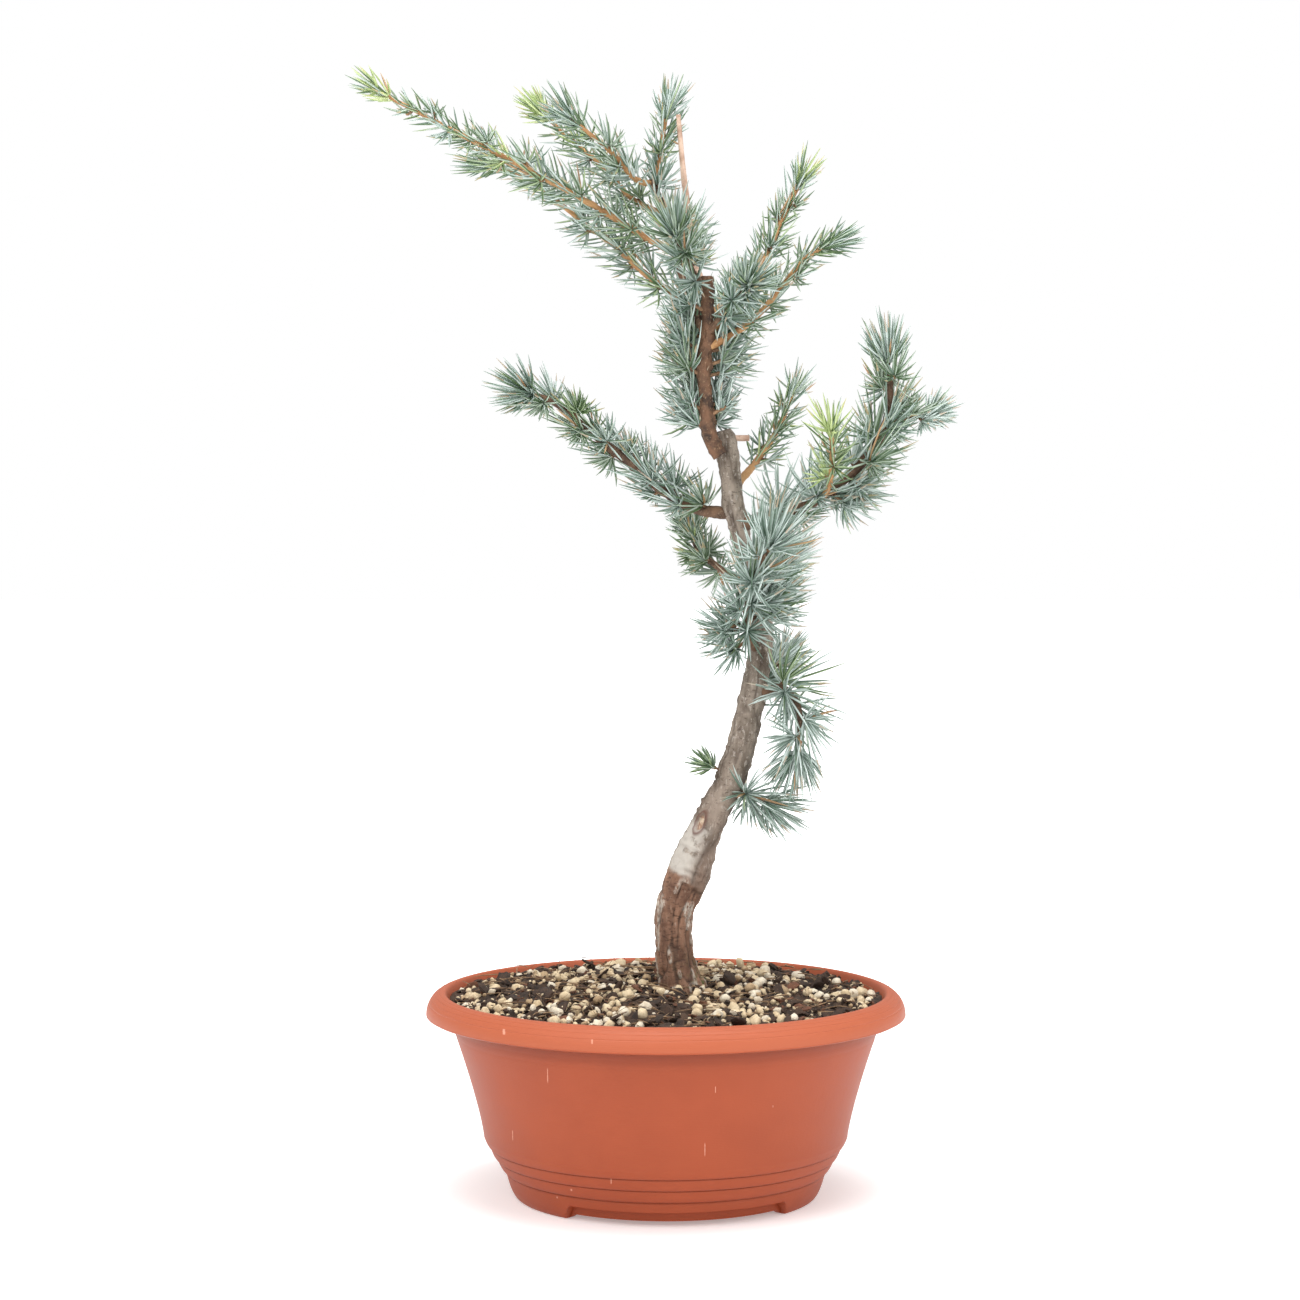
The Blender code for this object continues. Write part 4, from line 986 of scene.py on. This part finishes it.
# Rosettes: spurs along the limb, turned by the golden angle, or all out towards a mass that hangs beside it
def growRosettes(massIndex, name, weights, room, random):
    r = sprayRules
    limb, start, end, first, last, offset, habit, _ = masses[name]
    line, limbLength, offset = lines[limb], lengths[limb], np.array(offset, float)
    gap, usual = r["habits"][habit]
    beyond = r["beyond"].get(name, 1)
    count = max(round((end - start) / gap), 2)
    sideways = np.linalg.norm(offset) > 6
    places = start + (np.arange(count) + 0.5) / count * (end - start) + random.normal(0, gap * 0.12, count)
    for index, place in enumerate(np.clip(places, 1, limbLength)):
        here, way, out = outOfLimb(line, place, index * goldenTurn + massIndex)
        if sideways:
            out = unit(unit(offset) * 1.1 + out * 0.75)
        atTip = place >= limbLength - gap * 0.8 and not sideways
        axis = way if atTip else unit(out + way * 0.55)
        wood = {"trunk": trunkRadius(place), "leader": r["leaderRadius"]}.get(limb)
        wood = limbRadius(limb, place) if wood is None else wood
        spur = random.uniform(*r["spurLength"]) * (1.7 if sideways else 1)
        foot = here + (0 if atTip else out * wood * 0.7)
        head = foot + axis * spur
        if sideways:
            head = head + unit(offset) * min(np.linalg.norm(offset) * 0.35, 5)
        spurs.append((foot, head))

        more = (1.25 if atTip else 1) * r["sparse"].get(name, 1)
        needles = int(usual * random.uniform(0.8, 1.15) * more)
        ways = capWays(axis, needles, r["tipCapAngle"] if atTip else r["capAngle"], random)
        reach = reachInside(head + 0 * ways, ways, *room) * beyond
        natural = random.normal(1.0, 0.09, needles) * (first + last) / 2 * 1.5 * beyond
        size = np.minimum(np.minimum(reach * random.uniform(1.0, 1.3, needles), natural), r["longest"])
        fresh = (place - start) / (end - start) > r["freshTips"].get(name, 2)
        colour = freshColour if fresh else random.choice(len(colourNames), p=weights)
        colours = strayColours(colour, needles, weights, random)
        bend = unit(np.cross(ways, random.normal(0, 1, (needles, 3))))
        bend = bend * random.uniform(0.0, 0.13, (needles, 1))
        bend = bend + way * 0.17 + axis * 0.1 + np.array([0, 0, 0.03])
        bases = head + ways * 0.3 - axis * random.uniform(0, spur * 0.7, (needles, 1))
        keep = size > r["shortest"]
        grow(keep, r["needleRadius"], massIndex, base=bases, way=ways, bend=bend, length=size, colour=colours)


# Single needles all along a shoot, leaning forward and closing in on its tip
def growSingles(massIndex, name, weights, room, random):
    r = sprayRules
    limb, start, end = masses[name][:3]
    line, limbLength = lines[limb], lengths[limb]
    count = int((end - start) * r["singlesPerMm"])
    place = np.minimum(start - 2 + np.sort(random.random(count)) * (end - start + 1), limbLength)
    here, way, out = outOfLimb(line, place, np.arange(count) * goldenTurn + random.normal(0, 0.2, count))
    lean = random.normal(*r["singleLean"], count) * np.clip((limbLength - place) / 8, 0.35, 1)
    lean = np.radians(lean)[:, None]
    ways = unit(way * np.cos(lean) + out * np.sin(lean))
    bases = here + out * limbRadius(limb, place)[:, None] * 0.8
    reach = reachInside(bases, ways, *room)
    size = np.minimum(reach * random.uniform(0.95, 1.3, count), random.normal(*r["singleLength"], count))
    segment = (place // r["segment"]).astype(int)
    dealt = random.choice(len(colourNames), segment.max() + 1, p=weights)[segment]
    dealt = np.where((place - start) / (end - start) > r["freshTips"].get(name, 2), freshColour, dealt)
    colours = strayColours(dealt, count, weights, random)
    bend = way * 0.16 + random.normal(0, 0.05, (count, 3))
    keep = size > r["shortest"]
    grow(keep, r["singleRadius"], massIndex, base=bases, way=ways, bend=bend, length=size, colour=colours)


# Needle at share t: base + length (way t + bend t^2), a square tube swelling from its foot and closing at
# its tip
def needleMesh(base, way, bend, length, radius, roll):
    shares, widths = np.array([0, 0.3, 0.72, 1]), np.array([0.6, 1, 0.86, 0.16])
    curve = way[:, None] * shares[:, None] + bend[:, None] * shares[:, None] ** 2
    curve = base[:, None] + length[:, None, None] * curve
    side = unit(np.cross(way, (0.21, -0.37, 0.9)))
    over = np.cross(way, side)
    turn = roll[:, None] + np.arange(4) * math.pi / 2
    corner = side[:, None] * np.cos(turn)[..., None] + over[:, None] * np.sin(turn)[..., None]
    points = curve[:, :, None] + corner[:, None] * (radius[:, None] * widths)[..., None, None]
    tube = [(4 * i + j, 4 * i + (j + 1) % 4) for i in range(3) for j in range(4)]
    faces = np.array([*([a, b, b + 4, a + 4] for a, b in tube), [3, 2, 1, 0], [12, 13, 14, 15]])
    faces = faces[None] + (np.arange(len(base)) * 16)[:, None, None]
    return points.reshape(-1, 3), faces.reshape(-1, 4).tolist()


# Waxy faces, greener faces and tip, as three materials
def needleMaterials(name):
    parts = zip(("wax", "edge", "tip"), needleColours[name], (0.55, 0.45, 0.6))
    return [Surface(name + " needle " + part, colour, rough).material for part, colour, rough in parts]


# Faces of a needle: its sides take wax and edge in turn, the tip's sides are browned on some
def makeNeedles():
    r = sprayRules
    random = np.random.default_rng(r["seed"])
    for massIndex, (name, mass) in enumerate(masses.items()):
        limb, start, end, first, last, offset, habit, mixName = mass
        middle = pointAlong(lines[limb], np.linspace(start, end, r["middlePoints"])) + np.array(offset, float)
        room = (middle, np.linspace(first, last, r["middlePoints"]))
        weights = np.array(mixes[mixName], float)
        weights = weights / weights.sum()
        growRosettes(massIndex, name, weights, room, random)
        if habit == "shoot":
            growSingles(massIndex, name, weights, room, random)
    data = {key: np.concatenate(values) for key, values in grown.items()}
    total = len(data["base"])
    print("needles:", total)
    roll = random.uniform(0, 2 * math.pi, total)
    browned = random.random(total) < r["browned"]
    shape = ("base", "way", "bend", "length", "radius")
    massNames = list(masses)
    for index, name in enumerate(colourNames):
        mine = data["colour"] == index
        if not mine.any():
            continue
        points, faces = needleMesh(*(data[key][mine] for key in shape), roll[mine])
        chosen = np.tile([0, 1, 0, 1] * 3 + [1, 2], (mine.sum(), 1))
        chosen[:, 8:12] = np.where(browned[mine][:, None], 2, chosen[:, 8:12])
        nodes = [massNames[i] + "_needles" for i in np.unique(data["mass"][mine])]
        materials = needleMaterials(name)
        makePiece("needles_" + name, points * mm, faces, materials, nodes, chosen, smooth=False)


# Spurs: short ringed stubs that carry the rosettes
def makeSpurs():
    shares = np.array([0, 0.25, 0.5, 0.75, 1.0])
    widths = np.array([0.8, 1.05, 0.85, 1.15, 0.8]) * sprayRules["spurRadius"]
    parts = []
    for foot, head in spurs:
        line = foot + (head - foot) * shares[:, None]
        grid, _ = tubeGrid(shares * np.linalg.norm(head - foot), line, np.repeat(widths[:, None], 7, axis=1))
        parts.append(closedGrid(grid * mm))
    points, faces = joined(parts)
    surface = grainSurface("spur bark", "wood", *woods["spur bark"])
    makePiece("spurs", points, faces, [surface])


fibreSizes = {"count": 620, "hairs": 34, "seed": 77, "spread": 84, "thick": (0.14, 0.32), "hairThick": 0.11}


# Fibres lie on the mix, and a few hairs stand up from it
def makeFibres():
    f = fibreSizes
    random = np.random.default_rng(f["seed"])
    count, hairs = f["count"], f["hairs"]
    radius = f["spread"] * np.sqrt(random.random(count))
    bearing = random.uniform(0, 2 * math.pi, count)
    x, y = radius * np.cos(bearing), radius * np.sin(bearing)
    base = np.stack([x, y, soilHeight(x, y) + random.uniform(0.6, 2.6, count)], axis=1)
    heading = random.uniform(0, 2 * math.pi, count)
    way = np.stack([np.cos(heading), np.sin(heading), random.uniform(0.02, 0.22, count)], axis=1)
    way[:hairs, 2] = random.uniform(0.7, 1.4, hairs)
    inward = -np.stack([x, y, 0 * x], axis=1) / 90
    length = random.uniform(5, 15, count)
    bend = random.normal(0, 0.22, (count, 3)) + inward * 0.4
    bend[:, 2] = -0.12 - np.abs(bend[:, 2]) * 0.3
    thick = random.uniform(*f["thick"], count)
    thick[:hairs] = f["hairThick"]
    points, faces = needleMesh(base, unit(way), bend, length, thick, random.uniform(0, 6, count))
    surface = grainSurface("root fibres", "wood", *woods["root fibres"])
    makePiece("fibres", points * mm, faces, [surface])


makeNeedles()
makeSpurs()
makeFibres()

# Studio: lens in millimetres, the rest in metres, degrees and watts; a lamp is its place, size and power,
# and the floor's glow is given near and far, between two squares of the distance
studio = {
    "lens": 83.08, "camera": (-0.0066, -1.247, 0.2825), "down": 2.53, "near": 0.01, "aim": (0, 0, 0.22),
    "lamps": {
        "key": ((-0.9, -1.3, 1.5), 1.2, 16), "fill": ((1.3, -0.9, 0.9), 1.2, 7),
        "top": ((0.1, -0.2, 1.8), 1.3, 32),
    },
    "seenSky": 1.0, "daylight": 0.6, "floor": 9.0, "floorDrop": 0.0002, "floorColours": (0.92, 0.94),
    "glow": (0.3, 1.0), "glowSquares": (0.06, 0.5),
}


# Pale floor that glows more with the square of the distance, so it meets the white background unseen
def makeFloor():
    d = studio
    mesh = bpy.data.meshes.new("floor")
    size = d["floor"]
    corners = [(x * size, y * size, 0) for x, y in ((-1, -1), (1, -1), (1, 1), (-1, 1))]
    mesh.from_pydata(corners, [], [(0, 1, 2, 3)])
    dark, light = ((level,) * 3 for level in d["floorColours"])
    s = Surface("pale floor", light, 0.75)
    x, y = s.axis("X"), s.axis("Y")
    glow = s.blendColours(s.rise(x * x + y * y, *d["glowSquares"]), *((level,) * 3 for level in d["glow"]))
    s.set(Base_Color=s.blendColours(s.noise(0.4, 2), dark, light), Emission_Color=glow, Emission_Strength=1.0)
    mesh.materials.append(s.material)
    floor = bpy.data.objects.new("floor", mesh)
    floor.location.z = -d["floorDrop"]
    scene.collection.objects.link(floor)


# White to the camera, dimmer as light
def makeSky():
    world = bpy.data.worlds.new("studio")
    world.use_nodes = True
    tree = world.node_tree
    seen, lighting = tree.nodes["Background"], tree.nodes.new("ShaderNodeBackground")
    for background, strength in ((seen, studio["seenSky"]), (lighting, studio["daylight"])):
        background.inputs["Color"].default_value = (1, 1, 1, 1)
        background.inputs["Strength"].default_value = strength
    path, either = tree.nodes.new("ShaderNodeLightPath"), tree.nodes.new("ShaderNodeMixShader")
    tree.links.new(path.outputs["Is Camera Ray"], either.inputs[0])
    tree.links.new(lighting.outputs[0], either.inputs[1])
    tree.links.new(seen.outputs[0], either.inputs[2])
    tree.links.new(either.outputs[0], tree.nodes["World Output"].inputs["Surface"])
    scene.world = world


# Three square lamps turned to the plant, and a camera that looks a little down
def makeLampsAndCamera():
    d = studio
    for name, (place, size, power) in d["lamps"].items():
        light = bpy.data.lights.new(name, "AREA")
        light.shape = "SQUARE"
        light.size = size
        light.energy = power
        lamp = bpy.data.objects.new(name, light)
        lamp.location = place
        lamp.rotation_euler = (Vector(d["aim"]) - Vector(place)).to_track_quat("-Z", "Y").to_euler()
        scene.collection.objects.link(lamp)
    camera = bpy.data.objects.new("camera", bpy.data.cameras.new("camera"))
    camera.data.lens = d["lens"]
    camera.data.clip_start = d["near"]
    camera.location = d["camera"]
    camera.rotation_euler = (math.radians(90 - d["down"]), 0, 0)
    scene.collection.objects.link(camera)
    scene.camera = camera
    scene.view_settings.view_transform = "Standard"


makeFloor()
makeSky()
makeLampsAndCamera()
print("stage, light and camera set")
